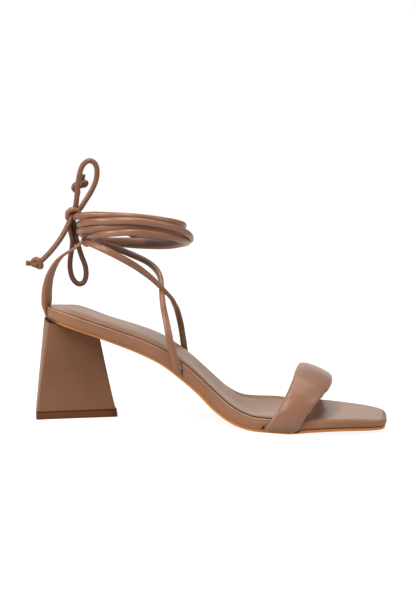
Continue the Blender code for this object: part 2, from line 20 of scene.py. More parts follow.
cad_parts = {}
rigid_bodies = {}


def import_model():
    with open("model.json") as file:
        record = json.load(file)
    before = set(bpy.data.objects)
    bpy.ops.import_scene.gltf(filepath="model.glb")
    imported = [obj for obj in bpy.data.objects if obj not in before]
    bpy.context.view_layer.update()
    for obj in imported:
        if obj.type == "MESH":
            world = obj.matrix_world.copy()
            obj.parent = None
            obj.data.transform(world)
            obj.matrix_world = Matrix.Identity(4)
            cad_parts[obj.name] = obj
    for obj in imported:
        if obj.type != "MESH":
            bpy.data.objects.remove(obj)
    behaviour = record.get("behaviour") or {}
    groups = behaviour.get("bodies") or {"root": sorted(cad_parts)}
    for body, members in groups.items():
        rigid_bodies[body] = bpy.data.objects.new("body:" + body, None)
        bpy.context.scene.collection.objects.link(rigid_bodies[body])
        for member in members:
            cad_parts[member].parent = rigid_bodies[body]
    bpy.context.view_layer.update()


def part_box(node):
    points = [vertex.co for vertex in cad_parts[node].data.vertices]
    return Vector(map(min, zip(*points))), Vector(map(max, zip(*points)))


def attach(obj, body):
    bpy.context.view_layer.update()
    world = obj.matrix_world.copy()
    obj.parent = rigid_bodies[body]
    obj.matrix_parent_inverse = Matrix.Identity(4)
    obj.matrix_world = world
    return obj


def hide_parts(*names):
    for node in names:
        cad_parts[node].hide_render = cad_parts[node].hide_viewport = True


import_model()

LOG = logging.getLogger("sandal")
MM = 0.001
BODY = "root"
PLATFORM_BACK = 1.2
ANKLE_X = 57.5

Colour = tuple[float, float, float]
Point = tuple[float, float, float]
Pair = tuple[float, float]
Values = np.ndarray | float


class Slot(Enum):
    """Material slots of the record."""

    OUTSOLE = "outsole"
    WRAP = "wrap_leather"
    SOCK = "sock_leather"
    HEEL = "heel_leather"
    LIFT = "heel_lift"
    STRAP = "strap_leather"
    TIE = "tie_leather"


class Twist(Enum):
    """How a swept section is turned about its path."""

    UPRIGHT = "Z_UP"
    LEAST = "MINIMUM"


# Shader graph


def arithmetic(operation: str, reflected: bool = False) -> Callable[["Signal", "Operand"], "Signal"]:
    """Make an operator of a Math node.

    Args:
        operation: the node's operation.
        reflected: whether the signal is the second value.

    Returns:
        The operator's method.
    """
    def method(signal: "Signal", other: "Operand") -> "Signal":
        """Join a signal and a value with the node."""
        first, second = (other, signal) if reflected else (signal, other)
        return signal.bench.add("ShaderNodeMath", {"operation": operation}, {0: first, 1: second})

    return method


class Signal:
    """A shader socket that takes part in Python arithmetic through Math nodes."""

    def __init__(self, bench: "Bench", socket: bpy.types.NodeSocket) -> None:
        """Wrap one output socket of a bench."""
        self.bench = bench
        self.socket = socket

    __add__ = arithmetic("ADD")
    __radd__ = arithmetic("ADD", True)
    __sub__ = arithmetic("SUBTRACT")
    __rsub__ = arithmetic("SUBTRACT", True)
    __mul__ = arithmetic("MULTIPLY")
    __rmul__ = arithmetic("MULTIPLY", True)

    def clamp(self) -> "Signal":
        """Keep the value between 0 and 1."""
        return self.bench.add("ShaderNodeClamp", {}, {"Value": self})


Operand = Signal | float


class Bench:
    """A material's node tree, with one Principled shader at its end."""

    def __init__(self, name: str) -> None:
        """Start a material.

        Args:
            name: its name.
        """
        self.material = bpy.data.materials.new(name)
        self.material.use_nodes = True
        self.tree = self.material.node_tree

    def add(self, kind: str, settings: dict[str, object], sockets: dict[str | int, object],
            output: str | int = 0) -> Signal:
        """Add any node.

        Args:
            kind: the node's type.
            settings: its properties.
            sockets: values or links of its inputs.
            output: the output wanted.

        Returns:
            That output.
        """
        node = self.tree.nodes.new(kind)
        for name, value in settings.items():
            setattr(node, name, value)
        for key, value in sockets.items():
            self.feed(node.inputs[key], value)
        return Signal(self, node.outputs[output])

    def feed(self, socket: bpy.types.NodeSocket, value: object) -> None:
        """Set or link one input.

        Args:
            socket: the input.
            value: a plain value, a colour, or a signal to link.
        """
        if isinstance(value, Signal):
            self.tree.links.new(value.socket, socket)
        else:
            socket.default_value = (*value, 1.0) if socket.type == "RGBA" else value

    def place(self) -> Signal:
        """Read the place in Object coordinates."""
        return self.add("ShaderNodeTexCoord", {}, {}, "Object")

    def noise(self, size: float, detail: float = 2.0, stretch: Point = (1.0, 1.0, 1.0)) -> Signal:
        """Noise about 0.5 in Object coordinates.

        Args:
            size: the size of its features in millimetres.
            detail: its octaves.
            stretch: scale of each axis.

        Returns:
            The noise.
        """
        spread = self.add("ShaderNodeVectorMath", {"operation": "MULTIPLY"}, {0: self.place(), 1: stretch})
        sockets = {"Vector": spread, "Scale": 1.0 / (size * MM), "Detail": detail}
        return self.add("ShaderNodeTexNoise", {}, sockets, "Fac")

    def mottle(self, middle: float, *parts: tuple[Signal, float]) -> Signal:
        """Sum noises about a middle value.

        Args:
            middle: the value where every noise is 0.5.
            *parts: each noise and its strength.

        Returns:
            The sum.
        """
        return sum(((noise - 0.5) * strength for noise, strength in parts), middle)

    def mix(self, share: Signal, first: object, second: object) -> Signal:
        """Blend two colours by a share that is kept between 0 and 1."""
        sockets = {0: share.clamp(), 6: first, 7: second}
        return self.add("ShaderNodeMix", {"data_type": "RGBA"}, sockets, 2)

    def attribute(self, name: str) -> Signal:
        """Read a number painted on the mesh."""
        return self.add("ShaderNodeAttribute", {"attribute_name": name}, {}, "Fac")

    def bump(self, height: Signal, depth: float) -> Signal:
        """Bend the normal by a height whose step of 1 is so many millimetres deep."""
        return self.add("ShaderNodeBump", {}, {"Strength": 1.0, "Distance": depth * MM, "Height": height})

    def shade(self, **sockets: object) -> bpy.types.Material:
        """Feed the Principled shader.

        Args:
            **sockets: input names, with _ for a space, and their values or links.

        Returns:
            The material.
        """
        shader = self.tree.nodes["Principled BSDF"]
        for name, value in sockets.items():
            self.feed(shader.inputs[name.replace("_", " ")], value)
        return self.material


# Finishes


@dataclass(frozen=True)
class Leather:
    """Smooth nappa leather: mottled colour, fine grain, soft gloss.

    One mesh attribute darkens the colour with painted shade in folds, gaps and on far sides; another lightens
    edges with a painted highlight.
    """

    name: str
    colour: Colour
    # light is the lighter tone of the mottle and of the painted highlight; dark is the colour of the painted
    # shade
    light: Colour
    dark: Colour
    roughness: float = 0.42
    grain: float = 0.75
    grain_depth: float = 0.035
    crease_depth: float = 0.09
    specular: float = 0.25
    streaks: float = 0.0
    coat: float = 0.0
    sheen: float = 0.0

    @cache
    def material(self) -> bpy.types.Material:
        """Build the material, once.

        Returns:
            The material.
        """
        bench = Bench(self.name)
        broad = bench.noise(26.0, 3.0)
        fine = bench.noise(1.3, 3.0)
        brushed = bench.noise(2.2, 2.0, (0.05, 1.0, 1.0))
        # painted shade from a mesh attribute, mixed towards dark below
        painted_shade = bench.attribute("painted_shade")
        tone = bench.mottle(0.35, (broad, 1.5), (fine, 0.25), (brushed, self.streaks))
        base = bench.mix(tone, self.colour, self.light)
        # painted highlight along edges from a mesh attribute
        lit = bench.mix(bench.attribute("painted_highlight") * 0.6, base, self.light)
        cells = bench.add("ShaderNodeTexVoronoi", {"feature": "SMOOTH_F1"},
                          {"Vector": bench.place(), "Scale": 1.0 / (self.grain * MM), "Smoothness": 0.6},
                          "Distance")
        creases = bench.noise(5.0, 2.0, (0.55, 1.0, 1.0))
        height = cells * (self.grain_depth / self.crease_depth) + creases
        rough = bench.mottle(self.roughness, (fine, 0.06), (broad, 0.04)) + painted_shade * 0.25
        return bench.shade(Base_Color=bench.mix(painted_shade * 0.92, lit, self.dark), Roughness=rough.clamp(),
                           Specular_IOR_Level=self.specular, Coat_Weight=self.coat, Coat_Roughness=0.16,
                           Sheen_Weight=self.sheen, Normal=bench.bump(height, self.crease_depth))


@dataclass(frozen=True)
class Rubber:
    """Dense sole rubber with a fine speckle and lines left by trimming."""

    name: str
    colour: Colour
    light: Colour
    # dark is the colour of the painted shade
    dark: Colour
    specular: float
    roughness: float = 0.5

    @cache
    def material(self) -> bpy.types.Material:
        """Build the material, once.

        Returns:
            The material.
        """
        bench = Bench(self.name)
        speckle = bench.noise(0.9)
        lines = bench.noise(3.0, 3.0, (0.12, 0.12, 3.0))
        base = bench.mix(bench.mottle(0.4, (speckle, 0.9), (lines, 0.9)), self.colour, self.light)
        # painted shade from the mesh attribute darkens the colour towards dark
        colour = bench.mix(bench.attribute("painted_shade") * 0.9, base, self.dark)
        return bench.shade(Base_Color=colour, Roughness=bench.mottle(self.roughness, (speckle, 0.2)).clamp(),
                           Specular_IOR_Level=self.specular, Normal=bench.bump(speckle * 0.6 + lines, 0.04))


@dataclass(frozen=True)
class Lining:
    """Matt inner leather with a short nap."""

    name: str
    colour: Colour
    light: Colour
    roughness: float = 0.82

    @cache
    def material(self) -> bpy.types.Material:
        """Build the material, once.

        Returns:
            The material.
        """
        bench = Bench(self.name)
        nap = bench.noise(0.6, 3.0)
        tone = bench.mottle(0.4, (nap, 0.9), (bench.noise(9.0), 0.8))
        return bench.shade(Base_Color=bench.mix(tone, self.colour, self.light), Roughness=self.roughness,
                           Sheen_Weight=0.15, Specular_IOR_Level=0.2, Normal=bench.bump(nap, 0.05))


@dataclass(frozen=True)
class Paper:
    """Plain white sweep that glows a little, so that it stays white."""

    name: str
    colour: Colour = (0.20, 0.20, 0.20)
    glow: float = 0.88

    def material(self) -> bpy.types.Material:
        """Build the material."""
        return Bench(self.name).shade(Base_Color=self.colour, Roughness=0.9, Specular_IOR_Level=0.0,
                                      Emission_Color=(1.0, 1.0, 1.0), Emission_Strength=self.glow)


Finish = Leather | Rubber | Lining
WRAP = Leather("wrap leather", (0.196, 0.086, 0.044), (0.250, 0.121, 0.069), (0.022, 0.007, 0.006),
               specular=0.18)
# a lighter copy of the wrap leather: painted highlight on the bead along the rim
LIT_BEAD = Leather("bead leather", (0.300, 0.150, 0.092), (0.365, 0.204, 0.138), (0.045, 0.016, 0.012))
STRAP = Leather("strap leather", (0.172, 0.078, 0.044), (0.222, 0.113, 0.070), (0.026, 0.009, 0.007),
                roughness=0.38, grain_depth=0.006, crease_depth=0.06, specular=0.12, coat=0.20, sheen=0.12)
SOCK = Leather("sock leather", (0.188, 0.098, 0.058), (0.250, 0.148, 0.096), (0.020, 0.008, 0.007),
               roughness=0.34, grain_depth=0.006, crease_depth=0.06, specular=0.16, streaks=2.2)
HEEL = Leather("heel leather", (0.145, 0.066, 0.036), (0.185, 0.089, 0.050), (0.020, 0.007, 0.006),
               roughness=0.45, specular=0.08)
TIE = Leather("tie leather", (0.174, 0.072, 0.036), (0.232, 0.108, 0.060), (0.022, 0.007, 0.005),
              roughness=0.34, grain=0.6, specular=0.38)
# a lighter copy of the tie leather: painted light on the heel loop
LIT_LOOP = Leather("heel loop leather", (0.275, 0.119, 0.062), (0.352, 0.168, 0.096), (0.030, 0.010, 0.007),
               roughness=0.38, grain=0.6, specular=0.30)
CORD = Leather("cord leather", (0.124, 0.049, 0.024), (0.176, 0.078, 0.043), (0.020, 0.006, 0.005),
               roughness=0.34, grain=0.6, specular=0.26)
SOLE_EDGE = Rubber("tan sole", (0.385, 0.135, 0.026), (0.455, 0.180, 0.046), (0.12, 0.045, 0.018), 0.12)
LIFT = Rubber("heel lift rubber", (0.094, 0.030, 0.012), (0.126, 0.044, 0.020), (0.018, 0.007, 0.005), 0.06)
# darker than the strap: the lining's own colour with painted shade under the band added to it
LINING = Lining("strap lining", (0.100, 0.032, 0.018), (0.146, 0.054, 0.032))
# near-black: painted shadow in the mouths of the slits
SLIT_SHADOW = Lining("slit shadow", (0.016, 0.006, 0.005), (0.028, 0.011, 0.009))


# Curves and meshes


def blend(first: Values, second: Values, share: Values) -> Values:
    """Go from one value to another by a share."""
    return first + (second - first) * share


def ease(low: float, high: float, value: Values) -> np.ndarray:
    """Smooth step from 0 at the low place to 1 at the high one."""
    share = np.clip((np.asarray(value, float) - low) / (high - low), 0.0, 1.0)
    return share * share * (3.0 - 2.0 * share)


def fade(low: float, high: float, value: Values) -> np.ndarray:
    """Smooth step from 1 at the low place to 0 at the high one."""
    return 1.0 - ease(low, high, value)


def bell(offset: Values) -> Values:
    """Bell curve, 1 at no offset."""
    return np.exp(-offset * offset)


def unit(vectors: np.ndarray) -> np.ndarray:
    """Scale vectors to a length of 1."""
    return vectors / np.maximum(np.linalg.norm(vectors, axis=-1, keepdims=True), 1e-9)


def lengths(points: np.ndarray) -> np.ndarray:
    """Distance run along a path up to each of its points."""
    return np.concatenate([[0.0], np.cumsum(np.linalg.norm(np.diff(points, axis=0), axis=1))])


def inwards(loop: np.ndarray) -> np.ndarray:
    """Directions into an anticlockwise loop in plan."""
    along = unit(np.roll(loop, -1, axis=0) - np.roll(loop, 1, axis=0))
    return np.stack([-along[:, 1], along[:, 0]], axis=1)


class Table:
    """Smooth curves through the columns of a short table."""

    def __init__(self, rows: Sequence[Sequence[float]], keys: Sequence[float] | None = None) -> None:
        """Keep the rows and work out the slope of each column there.

        Args:
            rows: the table's rows.
            keys: the place of each, or none to go by their number.
        """
        self.rows = np.array(rows, float)
        self.keys = np.arange(len(rows), dtype=float) if keys is None else np.array(keys, float)
        rise = np.gradient(self.rows, axis=0)
        run = np.gradient(self.keys)
        self.slopes = rise / run[:, None]

    def at(self, place: Values) -> np.ndarray:
        """Read every column.

        Args:
            place: the key or keys.

        Returns:
            One row of columns for each key.
        """
        place = np.atleast_1d(np.asarray(place, float))
        i = np.clip(np.searchsorted(self.keys, place, side="right") - 1, 0, len(self.keys) - 2)
        wide = (self.keys[i + 1] - self.keys[i])[:, None]
        t = np.clip((place[:, None] - self.keys[i][:, None]) / wide, 0.0, 1.0)
        first = self.rows[i] * (1 - 3 * t**2 + 2 * t**3) + self.slopes[i] * wide * (t - 2 * t**2 + t**3)
        second = self.rows[i + 1] * (3 * t**2 - 2 * t**3) + self.slopes[i + 1] * wide * (t**3 - t**2)
        return first + second

    def column(self, name: int, place: Values) -> np.ndarray:
        """Read one column at a place or places."""
        return self.at(place)[:, name]


def even(rows: Sequence[Sequence[float]], pitch: float) -> np.ndarray:
    """Run a smooth curve through rows that start with x, y, z.

    Args:
        rows: the rows.
        pitch: the distance between the points wanted.

    Returns:
        Rows at even steps along the curve.
    """
    dense = Table(rows).at(np.linspace(0.0, len(rows) - 1.0, 40 * len(rows)))
    run = lengths(dense[:, :3])
    steps = np.linspace(0.0, run[-1], max(2, round(run[-1] / pitch)) + 1)
    return np.stack([np.interp(steps, run, column) for column in dense.T], axis=1)


def section(count: int, power: float) -> np.ndarray:
    """Rounded box of half size 1.

    Args:
        count: its points.
        power: 2 for an ellipse, more for a squarer one.

    Returns:
        Points across and outwards.
    """
    turn = np.linspace(0.0, 2.0 * math.pi, count, endpoint=False)
    both = np.stack([np.cos(turn), np.sin(turn)], axis=1)
    return np.sign(both) * np.abs(both) ** (2.0 / power)


@dataclass(frozen=True)
class ShoeFrame:
    """Where the shoe's own millimetres lie in the row frame."""

    shift: np.ndarray

    @classmethod
    def of_part(cls) -> "ShoeFrame":
        """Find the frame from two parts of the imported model."""
        low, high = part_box("heel_lift")
        return cls(np.array([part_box("platform")[0].x - PLATFORM_BACK * MM, 0.5 * (low.y + high.y), 0.0]))

    def place(self, points: np.ndarray) -> np.ndarray:
        """Turn shoe millimetres into metres of the row frame."""
        return np.asarray(points, float) * MM + self.shift


@dataclass
class Rings:
    """Rings of equal length, with the painted shade and the painted highlight of each point, from 0 to 1."""

    points: list[np.ndarray] = field(default_factory=list)
    painted_shade: list[np.ndarray] = field(default_factory=list)
    painted_highlight: list[np.ndarray] = field(default_factory=list)

    def add(self, points: np.ndarray, painted_shade: Values = 0.0, painted_highlight: Values = 0.0) -> None:
        """Add one ring with its painted shade and painted highlight.

        Args:
            points: its points in shoe millimetres.
            painted_shade: how dark each is.
            painted_highlight: how light each is.
        """
        self.points.append(points)
        self.painted_shade.append(np.broadcast_to(painted_shade, len(points)))
        self.painted_highlight.append(np.broadcast_to(painted_highlight, len(points)))


class Slit(NamedTuple):
    """A thin dark lens, painted shadow in the mouth of a slit; its size is in halves."""

    name: str
    centre: Point
    along: Point
    out: Point
    size: Point


@dataclass
class Workshop:
    """Makes finished pieces out of rings of points and attaches them to the body."""

    shoe: ShoeFrame
    pieces: int = 0

    def loft(self, name: str, rings: Rings) -> bpy.types.Object:
        """Skin rings into one closed piece.

        Args:
            name: the piece's name.
            rings: its rings.

        Returns:
            The piece.
        """
        count, width = len(rings.points), len(rings.points[0])
        points = self.shoe.place(np.concatenate(rings.points))
        base = np.arange(count - 1)[:, None] * width + np.arange(width)[None, :]
        after = np.roll(base, -1, axis=1)
        faces = np.stack([base, after, after + width, base + width], axis=-1).reshape(-1, 4).tolist()
        faces.append(list(range(width))[::-1])
        faces.append(list(range((count - 1) * width, count * width)))
        mesh = bpy.data.meshes.new(name)
        mesh.from_pydata(points.tolist(), [], faces)
        # painted shade and painted highlight go onto the mesh as attributes
        for label, values in (("painted_shade", rings.painted_shade), ("painted_highlight", rings.painted_highlight)):
            layer = mesh.attributes.new(label, "FLOAT", "POINT")
            layer.data.foreach_set("value", np.concatenate(values).astype(np.float32))
        return self.seal(name, mesh)

    def seal(self, name: str, mesh: bpy.types.Mesh) -> bpy.types.Object:
        """Close seams, turn faces outwards and link the object.

        Args:
            name: the piece's name.
            mesh: its mesh in metres.

        Returns:
            The object.
        """
        work = bmesh.new()
        work.from_mesh(mesh)
        bmesh.ops.remove_doubles(work, verts=work.verts, dist=2e-6)
        bmesh.ops.dissolve_degenerate(work, edges=work.edges, dist=1e-6)
        bmesh.ops.triangulate(work, faces=[face for face in work.faces if len(face.verts) > 4])
        bmesh.ops.recalc_face_normals(work, faces=work.faces)
        work.to_mesh(mesh)
        work.free()
        mesh.shade_smooth()
        mesh.set_sharp_from_angle(angle=math.radians(52.0))
        obj = bpy.data.objects.new(name, mesh)
        bpy.context.scene.collection.objects.link(obj)
        return obj

    def finish(self, obj: bpy.types.Object, look: Finish, slot: Slot, *nodes: str) -> None:
        """Dress a piece, attach it to the body and hide the CAD nodes it stands in for.

        Args:
            obj: the piece.
            look: its finish.
            slot: not used.
            *nodes: CAD nodes it stands in for.
        """
        obj.data.materials.clear()
        obj.data.materials.append(look.material())
        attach(obj, BODY)
        if nodes:
            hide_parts(*nodes)
        self.pieces += 1
        LOG.info("%s: %d faces", obj.name, len(obj.data.polygons))

    def paint_shade(self, obj: bpy.types.Object, across: Pair, most: float, ahead: Pair | None = None) -> None:
        """Paint shade onto the far side of a piece, as a darker colour.

        Args:
            obj: the piece.
            across: y where it starts and where it is darkest, in shoe millimetres.
            most: how dark that is, from 0 to 1.
            ahead: x where it starts and is darkest, if it is only dark in front.
        """
        mesh = obj.data
        points = np.empty(3 * len(mesh.vertices), np.float32)
        mesh.vertices.foreach_get("co", points)
        places = (points.reshape(-1, 3) - self.shoe.shift) / MM
        shade = most * ease(*across, places[:, 1])
        if ahead is not None:
            shade *= ease(*ahead, places[:, 0])
        layer = mesh.attributes.get("painted_shade") or mesh.attributes.new("painted_shade", "FLOAT", "POINT")
        dark = np.empty(len(places), np.float32)
        layer.data.foreach_get("value", dark)
        layer.data.foreach_set("value", np.maximum(dark, shade).astype(np.float32))

    def slit(self, slit: Slit) -> None:
        """Make the mouth of a slit, pointed at both ends, and attach it to the body.

        Args:
            slit: its place, directions and size.
        """
        # The lens is painted shadow: a near-black piece where the slit's mouth lies in shade.
        axis = unit(np.array(slit.along, float))
        face = unit(np.array(slit.out, float) - axis * np.dot(slit.out, axis))
        side = np.cross(axis, face)
        turn = section(16, 2.0)
        long, wide, deep = slit.size
        rings = Rings()
        for step in np.linspace(-1.0, 1.0, 17):
            oval = turn * max(1e-4, 1.0 - step * step)
            middle = np.array(slit.centre) + axis * step * long
            rings.add(middle + side * oval[:, :1] * wide + face * oval[:, 1:] * deep, 1.0)
        self.finish(self.loft(slit.name, rings), SLIT_SHADOW, Slot.WRAP)


SWEEP_INPUTS = {"Half Width": "Float", "Half Thickness": "Float", "Sides": "Int", "Pitch": "Float",
                "Material": "Material"}
SWEEP_NODES = {
    "given": "NodeGroupInput", "resample": "GeometryNodeResampleCurve",
    "circle": "GeometryNodeCurvePrimitiveCircle", "scale": "ShaderNodeCombineXYZ",
    "oval": "GeometryNodeTransform", "sweep": "GeometryNodeCurveToMesh",
    "smooth": "GeometryNodeSetShadeSmooth", "realize": "GeometryNodeRealizeInstances",
    "dress": "GeometryNodeSetMaterial", "result": "NodeGroupOutput",
}
SWEEP_LINKS = (
    "given.Path > resample.Curve", "given.Pitch > resample.Length", "given.Sides > circle.Resolution",
    "given.Half Thickness > scale.X", "given.Half Width > scale.Y", "circle.Curve > oval.Geometry",
    "scale.Vector > oval.Scale", "resample.Curve > sweep.Curve", "oval.Geometry > sweep.Profile Curve",
    "sweep.Mesh > smooth.Geometry", "smooth.Geometry > realize.Geometry",
    "realize.Geometry > dress.Geometry", "given.Material > dress.Material", "dress.Geometry > result.Sweep",
)


class PathSweep:
    """Geometry Nodes tree that sweeps an oval section along a path."""

    def __init__(self, shop: Workshop) -> None:
        """Build the tree: resample, oval section, sweep, realize, material.

        Args:
            shop: the workshop that takes the pieces.
        """
        self.shop = shop
        self.tree = bpy.data.node_groups.new("oval sweep", "GeometryNodeTree")
        face = self.tree.interface
        face.new_socket("Path", in_out="INPUT", socket_type="NodeSocketGeometry")
        face.new_socket("Sweep", in_out="OUTPUT", socket_type="NodeSocketGeometry")
        self.ids = {name: face.new_socket(name, in_out="INPUT", socket_type="NodeSocket" + kind).identifier
                    for name, kind in SWEEP_INPUTS.items()}
        nodes = {name: self.tree.nodes.new(kind) for name, kind in SWEEP_NODES.items()}
        nodes["resample"].mode = "LENGTH"
        nodes["circle"].mode = "RADIUS"
        nodes["circle"].inputs["Radius"].default_value = 1.0
        nodes["scale"].inputs["Z"].default_value = 1.0
        nodes["sweep"].inputs["Fill Caps"].default_value = True
        for ends in SWEEP_LINKS:
            (source, given), (goal, taken) = (end.split(".") for end in ends.split(" > "))
            self.tree.links.new(nodes[source].outputs[given], nodes[goal].inputs[taken])

    def run(self, name: str, path: np.ndarray, half: Pair, look: Leather, twist: Twist = Twist.LEAST,
            pitch: float = 0.7, sides: int = 20) -> bpy.types.Object:
        """Sweep one path into a plain mesh.

        Args:
            name: the piece's name.
            path: points in shoe millimetres.
            half: half width and half thickness.
            look: the finish.
            twist: how the section is turned.
            pitch: length of one step.
            sides: points round the section.

        Returns:
            The piece.
        """
        points = self.shop.shoe.place(path)
        curve = bpy.data.curves.new(name + " path", "CURVE")
        curve.dimensions = "3D"
        curve.twist_mode = twist.value
        spline = curve.splines.new("POLY")
        spline.points.add(len(points) - 1)
        spline.points.foreach_set("co", np.column_stack([points, np.ones(len(points))]).ravel())
        holder = bpy.data.objects.new(name + " path", curve)
        bpy.context.scene.collection.objects.link(holder)
        modifier = holder.modifiers.new("sweep", "NODES")
        modifier.node_group = self.tree
        values = {"Half Width": half[0] * MM, "Half Thickness": half[1] * MM, "Sides": sides,
                  "Pitch": pitch * MM, "Material": look.material()}
        for label, value in values.items():
            modifier[self.ids[label]] = value
        bpy.context.view_layer.update()
        graph = bpy.context.evaluated_depsgraph_get()
        mesh = bpy.data.meshes.new_from_object(holder.evaluated_get(graph), depsgraph=graph)
        bpy.data.objects.remove(holder)
        bpy.data.curves.remove(curve)
        mesh.name = name
        return self.shop.seal(name, mesh)


# Sole


class Column(IntEnum):
    """Columns of the sole's table."""

    TREAD = 0
    RIM = 1
    OUTER = 2
    INNER = 3
    RISE = 4
    CROWN = 5


SOLE_X = (0.0, 12.0, 25.0, 45.0, 65.0, 80.0, 92.0, 104.0, 116.0, 128.0, 138.0, 146.0, 166.0, 180.0, 200.0,
          220.0, 238.0)
SOLE_ROWS = (
    # tread, rim, outer half width, inner half width, rise of the inner rim, crown
    (65.3, 73.4, 25.0, 25.0, -0.5, -1.0), (62.9, 71.9, 25.3, 25.3, -0.5, -0.2),
    (59.7, 68.6, 25.8, 25.8, 0.1, 0.7), (53.8, 62.9, 26.3, 26.2, -0.5, 0.8),
    (46.9, 56.7, 26.0, 25.6, 0.7, 0.9), (40.0, 50.5, 26.0, 24.4, 2.5, 0.6),
    (31.8, 43.4, 26.6, 23.4, 3.6, 0.1), (22.6, 34.5, 27.6, 23.2, 4.7, -0.5),
    (11.7, 24.3, 29.4, 24.0, 5.1, -0.7), (4.1, 15.4, 32.0, 26.4, 4.3, -1.3),
    (0.9, 10.9, 34.2, 29.0, 3.4, -1.6), (0.0, 9.6, 35.9, 31.4, 3.0, -1.7),
    (0.0, 9.8, 38.4, 36.4, 2.0, -1.6), (1.5, 10.5, 38.4, 38.2, 1.0, -1.3),
    (2.6, 10.9, 35.2, 36.8, 0.2, -0.8), (2.8, 10.6, 30.2, 32.2, -0.3, -0.4),
    (2.8, 9.2, 25.4, 27.6, -0.3, -0.2),
)


class EdgeRow(NamedTuple):
    """One ring of the wrapped wall, behind the toe strap and in front of it."""

    inset: float
    share: float
    drop: float
    toe_inset: float
    toe_drop: float
    painted_shade: float
    painted_highlight: float


# inset, share, drop, toe inset, toe drop, painted shade (dark lines above the outsole and beside the bead),
# painted highlight (toe's top edge)
WALL = tuple(EdgeRow(*row) for row in (
    (1.70, 0.0, -0.90, 1.70, -0.40, 1.0, 0.0), (1.05, 0.0, -0.86, 1.05, -0.34, 1.0, 0.0),
    (0.60, 0.0, -0.66, 0.60, -0.12, 0.9, 0.0), (0.25, 0.0, -0.28, 0.25, 0.30, 0.6, 0.0),
    (0.06, 0.0, 0.40, 0.06, 0.90, 0.1, 0.0), (-0.05, 0.28, 0.0, -0.05, 0.0, 0.0, 0.0),
    (-0.10, 0.50, 0.0, -0.10, 0.0, 0.0, 0.0), (-0.06, 0.72, 0.0, 0.02, -0.30, 0.0, 0.0),
    (0.02, 1.0, -1.90, 0.10, -2.00, 0.0, 0.0), (0.08, 1.0, -1.20, 0.26, -1.20, 0.1, 0.2),
    (0.20, 1.0, -0.80, 0.56, -0.62, 0.3, 0.8), (0.50, 1.0, -0.50, 0.95, -0.26, 0.3, 1.0),
    (0.95, 1.0, -0.45, 1.40, -0.08, 0.6, 0.8), (1.25, 1.0, -0.65, 1.80, -0.06, 1.0, 0.2),
    (1.45, 1.0, -1.10, 2.15, -0.50, 1.0, 0.0), (1.60, 1.0, -1.90, 2.30, -1.60, 1.0, 0.0),
))


class SockRow(NamedTuple):
    """One ring of the sock's edge, behind the toe strap and in front of it."""

    inset: float
    rise: float
    toe_inset: float
    toe_rise: float
    painted_shade: float


# inset, rise, toe inset, toe rise, painted shade along the sock's edge and down its near slope
SOCK_EDGE = tuple(SockRow(*row) for row in (
    (1.80, -1.80, 2.30, -1.50, 1.0), (1.62, -0.80, 2.10, -0.70, 1.0), (1.58, 0.05, 2.02, -0.26, 1.0),
    (1.64, 0.46, 2.06, -0.06, 1.0), (1.76, 0.86, 2.30, 0.02, 1.0), (2.00, 1.06, 2.80, 0.08, 0.55),
    (2.60, 1.36, 3.20, 0.12, 0.16), (3.60, 1.70, 3.60, 0.16, 0.12), (5.00, 2.00, 4.00, 0.18, 0.08),
    (6.50, 2.18, 4.40, 0.18, 0.03), (8.00, 2.26, 4.80, 0.20, 0.0), (9.50, 2.28, 5.20, 0.20, 0.0),
    (11.0, 2.28, 5.60, 0.20, 0.0),
))


